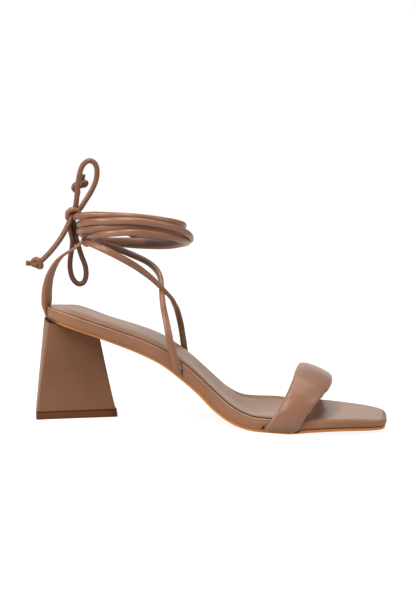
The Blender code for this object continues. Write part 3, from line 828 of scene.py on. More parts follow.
@dataclass
class Sole:
    """Tan outsole, wrapped platform with its bead, and padded sock.

    A pair of numbers gives the two places between which something runs or changes: along x, along y
    where its name says across, or in from the outline where it says inset.
    """

    shop: Workshop
    sweep: PathSweep
    length: float = 238.6
    heel_round: float = 25.0
    toe_start: float = 196.0
    toe_power: float = 5.6
    toe_slant: float = 0.155
    slant_start: float = 176.0
    stations: int = 190
    midline: Pair = (20.0, 222.0)
    middle_span: Pair = (10.0, 40.0)
    middle_end_span: Pair = (185.0, 215.0)
    rise_across: Pair = (-20.0, 25.0)
    gap: float = 0.3
    outsole_thick: float = 2.1
    outsole_inset: float = 1.5
    # painted shade on the outsole's edge: mild along the back half, strongest at the very back
    heel_shade: float = 0.22
    heel_shade_span: Pair = (45.0, 78.0)
    back_shade: float = 0.85
    back_span: Pair = (6.0, 12.0)
    toe_span: Pair = (164.0, 180.0)
    # The painted shade of the wall's lower rows is scaled by plain_line behind the toe; toe_dark adds a
    # little painted shade at the toe.
    plain_line: float = 0.3
    toe_dark: float = 0.06
    core_top: float = 0.2
    lap: float = 0.35
    lap_span: Pair = (96.0, 136.0)
    bead_inset: float = 0.62
    bead_drop: float = 0.36
    bead_radius: float = 0.44
    bead_ends: Pair = (163.0, 178.0)
    sock_under: float = 0.36
    under_inset: float = 2.2
    crown_half: float = 26.0
    reach: float = 14.0
    heel_low: float = 0.4
    heel_low_span: Pair = (4.0, 26.0)
    # the painted shade along the sock's edge grows from half to full strength over this span
    line_span: Pair = (72.0, 104.0)
    cushion: float = 0.7
    cushion_inset: Pair = (2.2, 10.2)
    heel_delay: float = 6.0
    heel_delay_span: Pair = (0.0, 24.0)
    cushion_span: Pair = (95.0, 140.0)
    dish: float = 2.2
    dish_span: Pair = (118.0, 146.0)
    dish_end_span: Pair = (182.0, 200.0)
    dish_inset: Pair = (1.8, 7.0)
    dish_across: Pair = (-24.0, 6.0)

    def __post_init__(self) -> None:
        """Lay out the outline and the directions into it."""
        self.table = Table(SOLE_ROWS, SOLE_X)
        steps = np.arange(0.0, 239.0)
        self.slope = Table(np.gradient(self.table.at(steps)[:, :1], axis=0), steps)
        turn = np.linspace(0.0, math.pi / 2.0, 400)
        power = 2.0 / self.toe_power
        heel = (self.heel_round - (self.heel_round - PLATFORM_BACK) * np.cos(turn), np.sin(turn))
        side = (np.linspace(self.heel_round, self.toe_start, 600)[1:], np.ones(599))
        toe = (blend(self.toe_start, self.length, np.sin(turn[1:]) ** power),
               np.clip(np.cos(turn[1:]), 0.0, 1.0) ** power)
        x, close = (np.concatenate(parts) for parts in zip(heel, side, toe))
        run = lengths(np.column_stack([x, 30.0 * close]))
        steps = np.linspace(0.0, run[-1], self.stations)
        x, close = np.interp(steps, run, x), np.interp(steps, run, close)
        close[[0, -1]] = 0.0
        outer = np.stack([x, -self.table.column(Column.OUTER, x) * close], axis=1)
        inner = np.stack([x, self.table.column(Column.INNER, x) * close], axis=1)
        self.loop = np.concatenate([outer, inner[-2:0:-1]])
        self.inwards = inwards(self.loop)
        self.toe = ease(*self.toe_span, self.loop[:, 0])

    def spots(self, inset: Values, spread: float = 1.0) -> np.ndarray:
        """Find the plan points of one ring.

        Args:
            inset: how far inside the outline each point lies.
            spread: 1 at that inset, 0 on the middle line.

        Returns:
            Points x and y.
        """
        edge = self.loop + self.inwards * np.broadcast_to(inset, len(self.loop))[:, None]
        middle = 0.5 * (edge + edge[-np.arange(len(edge)) % len(edge)])
        middle[:, 0] = np.clip(middle[:, 0], *self.midline)
        middle[:, 1] *= ease(*self.middle_span, edge[:, 0]) * fade(*self.middle_end_span, edge[:, 0])
        return blend(middle, edge, spread)

    def ring(self, spots: np.ndarray, height: np.ndarray) -> np.ndarray:
        """Join plan points and heights, sheared at the toe."""
        lean = self.toe_slant * spots[:, 1] * ease(self.slant_start, self.length, spots[:, 0])
        return np.stack([spots[:, 0] + lean, spots[:, 1], height], axis=1)

    def tread(self, x: np.ndarray, rise: float = 0.0) -> np.ndarray:
        """Height of the outsole's underside, or of a place so far above it, square to the slope."""
        steep = np.sqrt(1.0 + self.slope.column(0, x) ** 2)
        return np.maximum(0.0, self.table.column(Column.TREAD, x)) + rise * steep

    def board(self, spots: np.ndarray) -> np.ndarray:
        """Height of the platform's underside."""
        return self.tread(spots[:, 0], self.outsole_thick + self.gap)

    def rim(self, spots: np.ndarray) -> np.ndarray:
        """Height of the platform's rim."""
        base, rise = (self.table.column(name, spots[:, 0]) for name in (Column.RIM, Column.RISE))
        return base + rise * ease(*self.rise_across, spots[:, 1])

    def between(self, spots: np.ndarray, share: float) -> np.ndarray:
        """Height at a share of the way from the board up to the rim."""
        return blend(self.board(spots), self.rim(spots), share)

    def platform(self) -> None:
        """Build the wrapped board."""
        rings = Rings()
        # the hidden underside, and below the core under the sock, are fully in painted shade
        for spread in (0.0, 0.5):
            spots = self.spots(WALL[0].inset, spread)
            rings.add(self.ring(spots, self.board(spots)), 0.9)
        for row in WALL:
            spots = self.spots(blend(row.inset, row.toe_inset, self.toe))
            drop = blend(row.drop, row.toe_drop, self.toe)
            drop -= self.lap * (1.0 - row.share) * fade(*self.lap_span, self.loop[:, 0])
            # painted shade in the dark lines along the wall, a little more at the toe, and a painted
            # highlight on the toe's top edge
            line = blend(1.0, 0.2, self.toe) if row.share > 0.0 else blend(self.plain_line, 1.0, self.toe)
            rings.add(self.ring(spots, self.between(spots, row.share) + drop),
                      row.painted_shade * line + self.toe_dark * self.toe, row.painted_highlight * self.toe)
        for spread in (0.7, 0.35, 0.0):
            spots = self.spots(WALL[-1].toe_inset, spread)
            rings.add(self.ring(spots, self.between(spots, self.core_top)), 1.0)
        self.shop.finish(self.shop.loft("platform_wrap", rings), WRAP, Slot.WRAP, "platform")

    def bead(self) -> None:
        """Build the fine bead along the rim, from strap to strap round the heel."""
        spots = self.spots(self.bead_inset)
        path = self.ring(spots, self.rim(spots) - self.bead_drop)
        outer, inner = (side[side[:, 0] < end] for side, end in zip(np.split(path, 2), self.bead_ends))
        half = (self.bead_radius, self.bead_radius)
        obj = self.sweep.run("rim_bead", np.concatenate([inner, outer]), half, LIT_BEAD, pitch=1.0, sides=12)
        self.shop.finish(obj, LIT_BEAD, Slot.WRAP)

    def padding(self, spots: np.ndarray, inset: Values) -> np.ndarray:
        """Height that the soft filling gives the sock, less its dish at the ball of the foot.

        Args:
            spots: plan points.
            inset: how far from the outline.

        Returns:
            The rise in millimetres.
        """
        x, y = spots.T
        late = self.heel_delay * fade(*self.heel_delay_span, x)
        filled = self.cushion * ease(*self.cushion_inset, inset - late) * fade(*self.cushion_span, x)
        along = ease(*self.dish_span, x) * fade(*self.dish_end_span, x)
        return filled - self.dish * along * ease(*self.dish_inset, inset) * ease(*self.dish_across, y)

    def sock(self) -> None:
        """Build the padded sock inside the rim."""
        rings = Rings()
        for spread in (0.0, 0.5):
            spots = self.spots(self.under_inset, spread)
            rings.add(self.ring(spots, self.between(spots, self.sock_under)), 1.0)
        plan = [(blend(row.inset, row.toe_inset, self.toe), 1.0, blend(row.rise, row.toe_rise, self.toe),
                 row.painted_shade * blend(1.0, 0.15, self.toe)) for row in SOCK_EDGE]
        inset, _, rise, _ = plan[-1]
        plan += [(inset, spread, rise, 0.0) for spread in (0.85, 0.7, 0.55, 0.4, 0.25, 0.1, 0.0)]
        for inset, spread, rise, dark in plan:
            spots = self.spots(inset, spread)
            x = spots[:, 0]
            out = spread * (1.0 - inset / self.crown_half)
            low = blend(self.heel_low, 1.0, ease(*self.heel_low_span, x))
            height = self.rim(spots) + np.where(rise > 0.0, rise * low, rise)
            height += self.table.column(Column.CROWN, x) * (1.0 - out * out)
            height += self.padding(spots, inset + (1.0 - spread) * self.reach)
            # painted shade along the sock's edge, from half strength at the back to full towards the front
            rings.add(self.ring(spots, height), dark * blend(0.5, 1.0, ease(*self.line_span, x)))
        obj = self.shop.loft("insole_sock", rings)
        self.shop.finish(obj, SOCK, Slot.SOCK, "insole")

    def outsole(self) -> None:
        """Build the tan sheet under the shoe."""
        thick, flat = self.outsole_thick, self.outsole_inset
        # inset, spread, rise, painted shade
        plan = ((flat, 0.0, 0.0, 0.0), (flat, 0.5, 0.0, 0.0), (1.3, 1.0, 0.0, 0.0), (0.95, 1.0, 0.05, 0.0),
                (0.72, 1.0, 0.25, 0.0), (0.65, 1.0, 0.6, 0.0), (0.65, 1.0, thick - 0.35, 0.1),
                (0.75, 1.0, thick - 0.08, 0.7), (flat, 1.0, thick, 1.0), (flat, 0.5, thick, 1.0),
                (flat, 0.0, thick, 1.0))
        rings = Rings()
        for inset, spread, rise, dark in plan:
            spots = self.spots(inset, spread)
            x = spots[:, 0]
            # painted shade on the edge: mild along the back half, strongest at the very back
            shade = self.heel_shade * fade(*self.heel_shade_span, x)
            hidden = self.back_shade * fade(*self.back_span, x)
            rings.add(self.ring(spots, self.tread(x, rise)), np.maximum(dark, np.maximum(shade, hidden)))
        self.shop.finish(self.shop.loft("outsole_sheet", rings), SOLE_EDGE, Slot.OUTSOLE, "outsole")

    def build(self) -> None:
        """Build the four pieces."""
        for make in (self.outsole, self.platform, self.bead, self.sock):
            make()


# Heel


class HeelPlan(NamedTuple):
    """Plan of the heel at one height."""

    back: float
    bulge: float
    back_half: float
    front: float
    front_half: float


@dataclass
class Heel:
    """Leather covered block, wide at the back, and its lift."""

    shop: Workshop
    sole: Sole
    foot: HeelPlan = HeelPlan(-2.1, 0.5, 27.6, 51.2, 4.6)
    head: HeelPlan = HeelPlan(2.4, 2.6, 17.6, 37.4, 6.0)
    edge: float = 1.5
    height: float = 60.0
    seam: float = 0.15
    # the painted highlight on the back edge fades out between these distances from the back
    highlight_span: Pair = (0.4, 1.3)
    lift_height: float = 5.0
    lift_proud: float = 0.9
    lift_flare: float = 0.2
    proud_from: float = 20.0
    # painted shade at the lift's front tip
    tip_shade: float = 0.5
    tip_span: Pair = (0.93, 1.0)

    def plan(self, share: float) -> HeelPlan:
        """Plan at a share of the height, from the lift's top up."""
        return HeelPlan(*(blend(low, high, share) for low, high in zip(self.foot, self.head)))

    def outline(self, plan: HeelPlan, inset: float) -> np.ndarray:
        """Draw one plan with rounded corners and a curved back.

        Args:
            plan: the plan.
            inset: how far inside it to draw.

        Returns:
            Points x and y, anticlockwise.
        """
        corners = np.array([(plan.back, -plan.back_half), (plan.front, -plan.front_half),
                            (plan.front, plan.front_half), (plan.back, plan.back_half)])
        points = []
        for i, corner in enumerate(corners):
            after = corners[(i + 1) % 4]
            start = corner + unit(corners[i - 1] - corner) * self.edge
            end = corner + unit(after - corner) * self.edge
            for t in np.linspace(0.0, 1.0, 9):
                points.append((1 - t) ** 2 * start + 2 * t * (1 - t) * corner + t * t * end)
            far = after + unit(corner - after) * self.edge
            points.extend(blend(end, far, t) for t in np.linspace(0.0, 1.0, 26)[1:-1])
        loop = np.array(points)
        curved = fade(plan.back, plan.back + 2.0 * self.edge, loop[:, 0])
        aside = np.clip(np.abs(loop[:, 1]) / plan.back_half, 0.0, 1.0)
        loop[:, 0] -= plan.bulge * curved * (1.0 - aside**2)
        return loop + inwards(loop) * inset

    def block(self) -> None:
        """Build the covered block, its top on the outsole."""
        low = self.lift_height + self.seam
        # share of the height, inset, rise, painted shade
        rows = [(0.0, 2.4, 0.0, 1.0), (0.0, 0.5, 0.0, 1.0), (0.0, 0.12, 0.12, 0.6), (0.0, 0.0, 0.6, 0.1)]
        rows += [(share, 0.0, 0.0, 0.0) for share in np.linspace(0.03, 0.97, 26)]
        rows += [(1.0, 0.0, -0.7, 0.1), (1.0, 0.15, -0.12, 0.5), (1.0, 1.5, 0.0, 1.0)]
        rings = Rings()
        for share, inset, rise, dark in rows:
            level = share
            for _ in range(3):
                spots = self.outline(self.plan(level), inset)
                top = self.sole.tread(np.maximum(spots[:, 0], 0.0)) - self.sole.gap
                z = blend(low, top, share)
                level = (float(np.mean(z)) - low) / (self.height - low)
            # painted shade where the block meets the lift and the sole, and a painted highlight along the
            # back edge
            back = spots[:, 0] - self.plan(level).back
            rings.add(np.column_stack([spots, z + rise]), dark, fade(*self.highlight_span, back))
        self.shop.finish(self.shop.loft("heel_block_cover", rings), HEEL, Slot.HEEL, "heel_block")

    def lift(self) -> None:
        """Build the wearing piece under the block."""
        top = self.lift_height
        # inset, height, painted shade
        rows = ((1.2, 0.0, 0.0), (0.35, 0.0, 0.0), (0.08, 0.1, 0.0), (0.0, 0.4, 0.0), (0.0, 2.4, 0.0),
                (0.0, 4.4, 0.0), (0.1, 4.75, 0.3), (0.5, top, 0.9), (1.2, top, 1.0))
        rings = Rings()
        for inset, z, dark in rows:
            spots = self.outline(self.foot, inset)
            front = ease(self.proud_from, self.foot.front, spots[:, 0])
            spots[:, 0] += (self.lift_proud + self.lift_flare * (top - z)) * front
            # painted shade along the top and at the front tip
            rings.add(np.column_stack([spots, np.full(len(spots), z)]),
                      np.maximum(dark, self.tip_shade * ease(*self.tip_span, front)))
        self.shop.finish(self.shop.loft("heel_lift_cap", rings), LIFT, Slot.LIFT, "heel_lift")

    def build(self) -> None:
        """Build the block and the lift."""
        self.block()
        self.lift()


# Straps


class Crease(NamedTuple):
    """A soft trough on the toe strap."""

    row: float
    across: float
    length: float
    width: float
    slant: float
    depth: float


class Nick(NamedTuple):
    """A place where the toe strap's front edge draws in, or out where the depth is negative."""

    row: float
    depth: float
    length: float


TOE_ROWS = (
    # rear edge x, y, z, front edge x, y, z, thickness
    (149.8, -39.0, 2.8, 171.6, -40.6, 3.0, 4.6), (153.0, -40.1, 8.6, 174.6, -41.5, 8.8, 5.8),
    (157.4, -39.8, 16.2, 179.0, -40.4, 16.6, 6.4), (162.8, -35.6, 26.0, 185.4, -35.8, 23.4, 6.6),
    (167.6, -26.4, 34.4, 192.0, -26.8, 28.4, 6.6), (171.4, -13.0, 40.0, 196.8, -13.0, 31.4, 6.6),
    (175.2, 2.0, 41.2, 199.4, 3.0, 32.0, 6.6), (179.0, 16.0, 38.4, 201.2, 17.0, 30.0, 6.6),
    (181.0, 28.2, 31.2, 201.2, 29.0, 25.0, 6.4), (180.6, 37.6, 20.8, 200.0, 37.6, 18.0, 6.0),
    (178.0, 41.6, 10.0, 197.8, 41.0, 9.6, 5.0), (175.6, 41.0, 3.2, 196.4, 39.8, 3.4, 3.4),
)


@dataclass
class ToeStrap:
    """Padded band over the toes, with its lining and the slits it enters."""

    shop: Workshop
    power: float = 2.3
    around: int = 56
    along: int = 150
    inner_share: float = 0.75
    foot_length: float = 0.7
    # painted shade at the band's feet and in its creases, and a painted highlight along both edges
    foot_shade: float = 0.2
    edge_place: float = 0.985
    edge_width: float = 0.02
    edge_highlight: float = 0.5
    nick_from: float = 0.4
    lining_half: float = 0.94
    lining_lift: float = 0.18
    lining_depth: float = 0.4
    lining_inset: int = 4
    middle: Point = (178.0, 0.0, 12.0)
    creases: tuple[Crease, ...] = (
        Crease(0.9, -0.35, 0.9, 0.20, 0.10, 0.26), Crease(0.8, 0.30, 0.8, 0.20, -0.08, 0.24),
        Crease(2.6, -0.55, 1.1, 0.24, 0.15, 0.10), Crease(2.4, 0.55, 1.0, 0.24, -0.12, 0.12),
        Crease(9.8, -0.30, 0.9, 0.18, 0.08, 0.40), Crease(10.0, 0.35, 0.9, 0.18, -0.08, 0.40),
        Crease(8.6, 0.10, 1.1, 0.24, 0.10, 0.22),
    )
    nicks: tuple[Nick, ...] = (Nick(3.75, 1.0, 0.17), Nick(2.0, -0.7, 0.15))
    slits: tuple[Slit, ...] = (
        Slit("toe_slit_rear", (148.8, -37.9, 3.9), (0.75, 0.0, 0.6), (0.0, -1.0, 0.0), (1.7, 0.9, 0.6)),
        Slit("toe_slit_front", (171.8, -38.4, 1.9), (0.9, 0.0, 0.35), (0.0, -1.0, 0.0), (1.8, 0.5, 0.6)),
    )

    def __post_init__(self) -> None:
        """Fit curves through the band's edges and set the way out of each ring."""
        table = Table(TOE_ROWS)
        self.places = np.linspace(0.0, len(TOE_ROWS) - 1.0, self.along)
        rear, front, thick = np.split(table.at(self.places), (3, 6), axis=1)
        ahead = table.at(self.places + 0.01) - table.at(self.places - 0.01)
        self.centre = 0.5 * (rear + front)
        self.across = 0.5 * (front - rear)
        self.thick = 0.5 * thick[:, 0]
        out = unit(np.cross(self.across, 0.5 * (ahead[:, :3] + ahead[:, 3:6])))
        away = np.sum(out * (self.centre - np.array(self.middle)), axis=1)
        self.out = out * np.sign(away)[:, None]

    def point(self, i: int, v: np.ndarray, height: np.ndarray) -> np.ndarray:
        """Points of one ring, from places across it and heights out of it."""
        return self.centre[i] + self.across[i] * v[:, None] + self.out[i] * height[:, None]

    def relief(self, place: float, v: np.ndarray) -> np.ndarray:
        """Sum of the creases on one ring.

        Args:
            place: the ring's place along the band.
            v: places across it, from -1 at the rear to 1 at the front.

        Returns:
            How far the surface sinks, in millimetres.
        """
        total = np.zeros_like(v)
        for crease in self.creases:
            far = (place - crease.row) / crease.length
            off = (v - crease.across - crease.slant * far) / crease.width
            total += crease.depth * bell(off) * bell(far)
        return total

    def band(self) -> None:
        """Build the padded band."""
        v, w = section(self.around, self.power).T
        side = np.clip((v - self.nick_from) / (1.0 - self.nick_from), 0.0, 1.0) ** 2
        painted_highlight = bell((np.abs(v) - self.edge_place) / self.edge_width) * self.edge_highlight
        rings = Rings()
        for i, place in enumerate(self.places):
            puff = np.where(w > 0.0, 1.0, self.inner_share) * w * self.thick[i]
            sink = self.relief(place, v) * np.clip(w, 0.0, 1.0)
            nick = sum(cut.depth * bell((place - cut.row) / cut.length) for cut in self.nicks)
            foot = fade(0.0, self.foot_length, min(place, self.places[-1] - place))
            # painted shade at the feet and in the creases, painted highlight along the edges
            rings.add(self.point(i, v, puff - sink) - unit(self.across[i]) * (nick * side)[:, None],
                      np.clip((self.foot_shade + sink / 1.2) * foot, 0.0, 1.0), painted_highlight)
        obj = self.shop.loft("toe_strap_band", rings)
        self.shop.finish(obj, STRAP, Slot.STRAP, "toe_strap")

    def lining(self) -> None:
        """Build the thin lining on the band's inner face."""
        v = np.linspace(-self.lining_half, self.lining_half, 25)
        depth = (1.0 - np.abs(v) ** self.power) ** (1.0 / self.power) * self.inner_share
        rings = Rings()
        for i in range(self.lining_inset, self.along - self.lining_inset):
            inner = -depth * self.thick[i]
            back = self.point(i, v, inner + self.lining_depth)
            rings.add(np.concatenate([self.point(i, v, inner - self.lining_lift), back[::-1]]))
        self.shop.finish(self.shop.loft("toe_strap_lining", rings), LINING, Slot.STRAP)

    def build(self) -> None:
        """Build the band, its lining and the painted shadow in the mouths of the slits it enters."""
        self.band()
        self.lining()
        for slit in self.slits:
            self.shop.slit(slit)


LATERAL_ROWS = (
    # x, y, z, width, thickness
    (91.8, -24.6, 34.8, 5.6, 2.4), (90.2, -27.6, 39.2, 6.0, 2.6), (88.0, -28.5, 45.0, 5.6, 2.8),
    (85.4, -28.2, 52.0, 4.8, 3.0), (83.0, -26.6, 61.5, 4.8, 3.0), (81.0, -22.8, 69.8, 4.6, 3.0),
    (79.4, -17.0, 76.4, 4.6, 3.2), (78.5, -9.0, 82.0, 4.6, 3.4), (78.2, -1.6, 86.6, 4.6, 3.4),
    (77.9, 4.4, 91.2, 4.8, 3.6), (77.1, 9.4, 95.6, 5.2, 3.7), (74.0, 13.8, 100.4, 5.2, 3.5),
    (67.8, 18.0, 104.6, 4.7, 3.0), (57.0, 22.4, 108.6, 4.7, 3.0), (44.6, 21.4, 112.8, 4.7, 3.0),
    (33.0, 14.6, 116.2, 4.5, 3.0), (26.6, 5.4, 118.2, 4.0, 2.9), (25.0, 0.6, 118.9, 3.4, 2.6),
)
MEDIAL_ROWS = (
    # the same columns
    (100.2, 25.4, 30.4, 5.0, 2.6), (99.4, 25.5, 36.6, 4.8, 2.6), (98.1, 25.3, 43.4, 4.6, 2.8),
    (95.7, 23.6, 54.9, 4.4, 3.0), (93.9, 21.4, 62.3, 4.4, 3.0), (90.8, 16.6, 71.8, 4.4, 3.0),
    (88.2, 12.4, 77.0, 4.3, 3.0), (85.0, 7.4, 82.2, 4.2, 3.0), (77.9, -1.8, 89.6, 4.2, 3.0),
    (69.9, -9.6, 97.1, 4.4, 3.0), (58.4, -19.0, 105.6, 4.7, 3.0), (46.4, -25.6, 112.2, 4.7, 3.0),
    (36.6, -25.6, 116.4, 4.6, 3.0), (29.2, -18.0, 118.4, 4.2, 3.0), (25.8, -8.0, 118.6, 3.8, 2.8),
    (24.8, 0.0, 118.6, 3.4, 2.6),
)
LOOP_ROWS = (
    # x, y, z, width, thickness, turn in degrees
    (1.6, 0.0, 65.9, 10.2, 2.2, 0.0), (1.0, 0.0, 69.6, 10.3, 2.3, -12.0), (0.9, 0.0, 73.4, 10.3, 2.4, -36.0),
    (0.9, 0.0, 77.0, 10.2, 2.4, -43.0), (0.7, 0.0, 82.0, 10.0, 2.4, -44.0), (1.1, 0.0, 87.4, 9.4, 2.4, -43.0),
    (2.0, 0.0, 92.8, 8.6, 2.4, -41.0), (4.0, 0.0, 98.6, 7.4, 2.3, -38.0), (6.8, 0.0, 103.8, 6.6, 2.2, -30.0),
    (11.4, 0.0, 108.8, 5.8, 2.1, -14.0), (16.8, 0.0, 112.7, 5.0, 1.9, 0.0), (21.9, 0.0, 117.1, 4.4, 1.9, 0.0),
)


@dataclass
class Straps:
    """The two straps of the tie from the shank to the heel loop, and the heel loop."""

    shop: Workshop
    power: float = 2.5
    pitch: float = 1.1
    around: int = 28
    leg_span: Pair = (45.0, 95.0)
    foot_fold: float = 0.9
    fold_height: float = 26.0
    strap_crest: float = -0.15
    eye: Pair = (25.9, 118.9)
    eye_radius: float = 3.3
    eye_turn: Pair = (185.0, -145.0)
    eye_size: Pair = (4.2, 2.0)
    loop_fold: float = 0.85
    loop_crest: float = -0.51
    loop_lines: Pair = (-0.3, 0.3)
    line_width: float = 0.07
    line_depth: float = 0.12
    # the fine lines are darkened with painted shade; the edges get a painted highlight
    line_shade: float = 0.5
    edge_width: float = 0.05
    edge_highlight: float = 0.6
    slits: tuple[Slit, ...] = (
        Slit("tie_slit_lateral", (92.9, -27.1, 39.2), (-0.16, 0.0, 1.0), (0.0, -1.0, 0.0), (6.0, 0.5, 0.5)),
        Slit("tie_slit_medial", (103.4, 24.0, 35.0), (-0.1, 0.0, 1.0), (0.0, 1.0, 0.0), (4.6, 0.5, 0.5)),
    )

    def skin(self, name: str, rows: np.ndarray, across: np.ndarray, fold: np.ndarray, crest: float,
             lines: Sequence[float] = ()) -> bpy.types.Object:
        """Sweep a flat rounded section along rows.

        Args:
            name: the piece's name.
            rows: x, y, z, width and thickness.
            across: direction of the width at each row.
            fold: how far the face is folded to a ridge at each row, from 0 to 1.
            crest: place across of the ridge.
            lines: places across, from -1 to 1, of fine lengthwise lines.

        Returns:
            The piece.
        """
        v, w = section(self.around, self.power).T
        mark = np.zeros_like(v)
        for place in lines:
            mark = np.maximum(mark, bell((v - place) / self.line_width) * (np.abs(w) > 0.3))
        ridge = 1.0 - np.abs(v - crest) / np.where(v > crest, 1.0 - crest, 1.0 + crest)
        roof = (0.15 + 0.95 * ridge) * np.clip(w * 3, 0, 1)
        painted_highlight = bell((np.abs(v) - 1.0) / self.edge_width) * self.edge_highlight
        out = np.cross(across, unit(np.gradient(rows[:, :3], axis=0)))
        rings = Rings()
        for i, row in enumerate(rows):
            face = np.where(w > 0.0, blend(w, roof, fold[i]), w) - mark * np.sign(w) * self.line_depth
            half_wide, half_thick = 0.5 * row[3:5]
            points = row[:3] + across[i] * (v * half_wide)[:, None] + out[i] * (face * half_thick)[:, None]
            # painted shade in the fine lines and a painted highlight along the edges
            rings.add(points, mark * self.line_shade, painted_highlight)
        return self.shop.loft(name, rings)

    def strap(self, name: str, table: Sequence[Sequence[float]]) -> bpy.types.Object:
        """Build one strap of the tie.

        Args:
            name: the piece's name.
            table: its rows.

        Returns:
            The piece.
        """
        rows = even(table, self.pitch)
        path, height = rows[:, :3], rows[:, 2]
        side = unit(path * np.array([0.0, 1.0, 0.0]))
        leg = path - np.array([ANKLE_X, 0.0, 0.0])
        leg[:, 2] = 0.5 * np.linalg.norm(leg[:, :2], axis=1)
        outward = blend(side, unit(leg), ease(*self.leg_span, height)[:, None])
        across = unit(np.cross(unit(np.gradient(path, axis=0)), outward))
        fold = self.foot_fold * fade(0.0, self.fold_height, height - height[0])
        return self.skin(name, rows, across, fold, self.strap_crest)

    def heel_loop(self) -> bpy.types.Object:
        """Build the strap behind the heel with its eye.

        Returns:
            The piece.
        """
        rows = even(LOOP_ROWS, self.pitch)
        turn = np.radians(rows[:, 5:])
        along = unit(np.gradient(rows[:, :3], axis=0))
        side = np.array([0.0, 1.0, 0.0])
        across = side * np.cos(turn) + np.cross(along, side) * np.sin(turn)
        angle = np.radians(np.linspace(*self.eye_turn, 56))[2:]
        plain = np.ones_like(angle)
        ring = np.column_stack([self.eye[0] + self.eye_radius * np.cos(angle), 0.0 * plain,
                                self.eye[1] + self.eye_radius * np.sin(angle),
                                self.eye_size[0] * plain, self.eye_size[1] * plain])
        rows = np.concatenate([rows[:, :5], ring])
        across = np.concatenate([across, plain[:, None] * side])
        fold = np.full(len(rows), self.loop_fold)
        return self.skin("heel_loop_strap", rows, across, fold, self.loop_crest, self.loop_lines)

    def build(self) -> None:
        """Build both straps, the heel loop and the painted shadow in the mouths of the slits."""
        lateral = self.strap("tie_lateral", LATERAL_ROWS)
        # painted shade on the far runs of the straps
        self.shop.paint_shade(lateral, (7.0, 17.0), 0.75)
        self.shop.finish(lateral, TIE, Slot.TIE, "ankle_tie")
        medial = self.strap("tie_medial", MEDIAL_ROWS)
        self.shop.paint_shade(medial, (8.0, 22.0), 0.3)
        self.shop.finish(medial, TIE, Slot.TIE)
        self.shop.finish(self.heel_loop(), LIT_LOOP, Slot.TIE, "heel_loop")
        for slit in self.slits:
            self.shop.slit(slit)


class Turn(NamedTuple):
    """One turn about the ankle: half sizes at its back, near side, front and far side, its section, and how
    much painted shade falls on its far side and on a patch towards its front.

    Heights go by quarters of the turn: 0 at the back, 1 near, 2 in front, 3 far, 4 at the back again.
    """

    back: float
    near: float
    front: float
    far: float
    half: Pair
    far_shade: float
    patch_shade: float
    heights: tuple[Pair, ...]


@dataclass
class AnkleRing:
    """The tie's four turns about the ankle."""

    shop: Workshop
    sweep: PathSweep
    end_back: float = 38.0
    # where the painted shade falls: on the far side, and on a patch towards the front
    far_across: Pair = (4.0, 26.0)
    patch_across: Pair = (4.0, 20.0)
    patch_span: Pair = (58.0, 70.0)
    tuck: Point = (-3.0, -4.2, -1.0)
    turns: tuple[Turn, ...] = (
        Turn(31.5, 36.6, 36.6, 36.4, (2.30, 1.55), 0.1, 0.0, (
            (0.0, 121.6), (0.3, 124.2), (0.6, 127.3), (1.0, 130.0), (1.4, 128.0), (1.7, 124.6), (2.0, 121.5),
            (2.3, 118.2), (2.5, 115.7), (2.7, 114.2), (3.0, 113.6), (3.3, 115.4), (4.0, 125.0))),
        Turn(38.0, 34.2, 35.2, 33.0, (2.35, 1.50), 0.28, 0.8, (
            (0.0, 125.0), (0.3, 127.9), (0.6, 131.2), (1.0, 133.3), (1.4, 130.9), (1.7, 127.9), (2.0, 124.0),
            (2.5, 118.6), (3.0, 116.8), (3.4, 117.3), (4.0, 129.4))),
        Turn(38.2, 36.8, 38.6, 36.4, (2.35, 1.55), 0.35, 0.8, (
            (0.0, 129.4), (0.3, 132.5), (0.6, 135.4), (1.0, 137.2), (1.4, 134.0), (1.7, 129.0), (2.0, 123.6),
            (2.4, 119.7), (2.7, 118.9), (2.86, 118.8), (2.97, 120.4), (3.1, 123.4), (3.4, 128.5),
            (4.0, 135.6))),
        Turn(38.0, 33.2, 33.2, 33.0, (2.25, 1.50), 0.3, 0.0, (
            (0.0, 135.6), (0.3, 137.7), (0.6, 139.2), (1.0, 139.8), (1.4, 137.6), (1.7, 134.9), (2.0, 132.2),
            (3.0, 128.5), (4.0, 136.2))),
    )

    def route(self, index: int) -> np.ndarray:
        """Lay out one turn, from the back over the near side round to the back.

        Args:
            index: the turn.

        Returns:
            Its points.
        """
        turn = self.turns[index]
        last = index + 1 == len(self.turns)
        back = self.end_back if last else self.turns[index + 1].back
        quarter = np.linspace(0.0, 4.0, 161)
        places, rise = zip(*turn.heights)
        height = Table([(z,) for z in rise], places).column(0, quarter)
        angle = quarter * math.pi / 2.0
        ends = np.interp(quarter, [0.0, 2.0, 4.0], [turn.back, turn.front, back])
        sides = np.interp(quarter, [1.0, 3.0], [turn.near, turn.far])
        path = np.column_stack([ANKLE_X - ends * np.cos(angle), -sides * np.sin(angle), height])
        if last:
            path += np.array(self.tuck) * fade(0.0, 0.5, quarter)[:, None]
        return path

    def build(self) -> None:
        """Sweep each turn."""
        for index, turn in enumerate(self.turns):
            name = f"ankle_turn_{index + 1}"
            obj = self.sweep.run(name, self.route(index), turn.half, TIE, Twist.UPRIGHT, 1.2, 24)
            # painted shade on the far side and on the shaded patch
            self.shop.paint_shade(obj, self.far_across, turn.far_shade)
            self.shop.paint_shade(obj, self.patch_across, turn.patch_shade, self.patch_span)
            self.shop.finish(obj, TIE, Slot.TIE)


# Bow


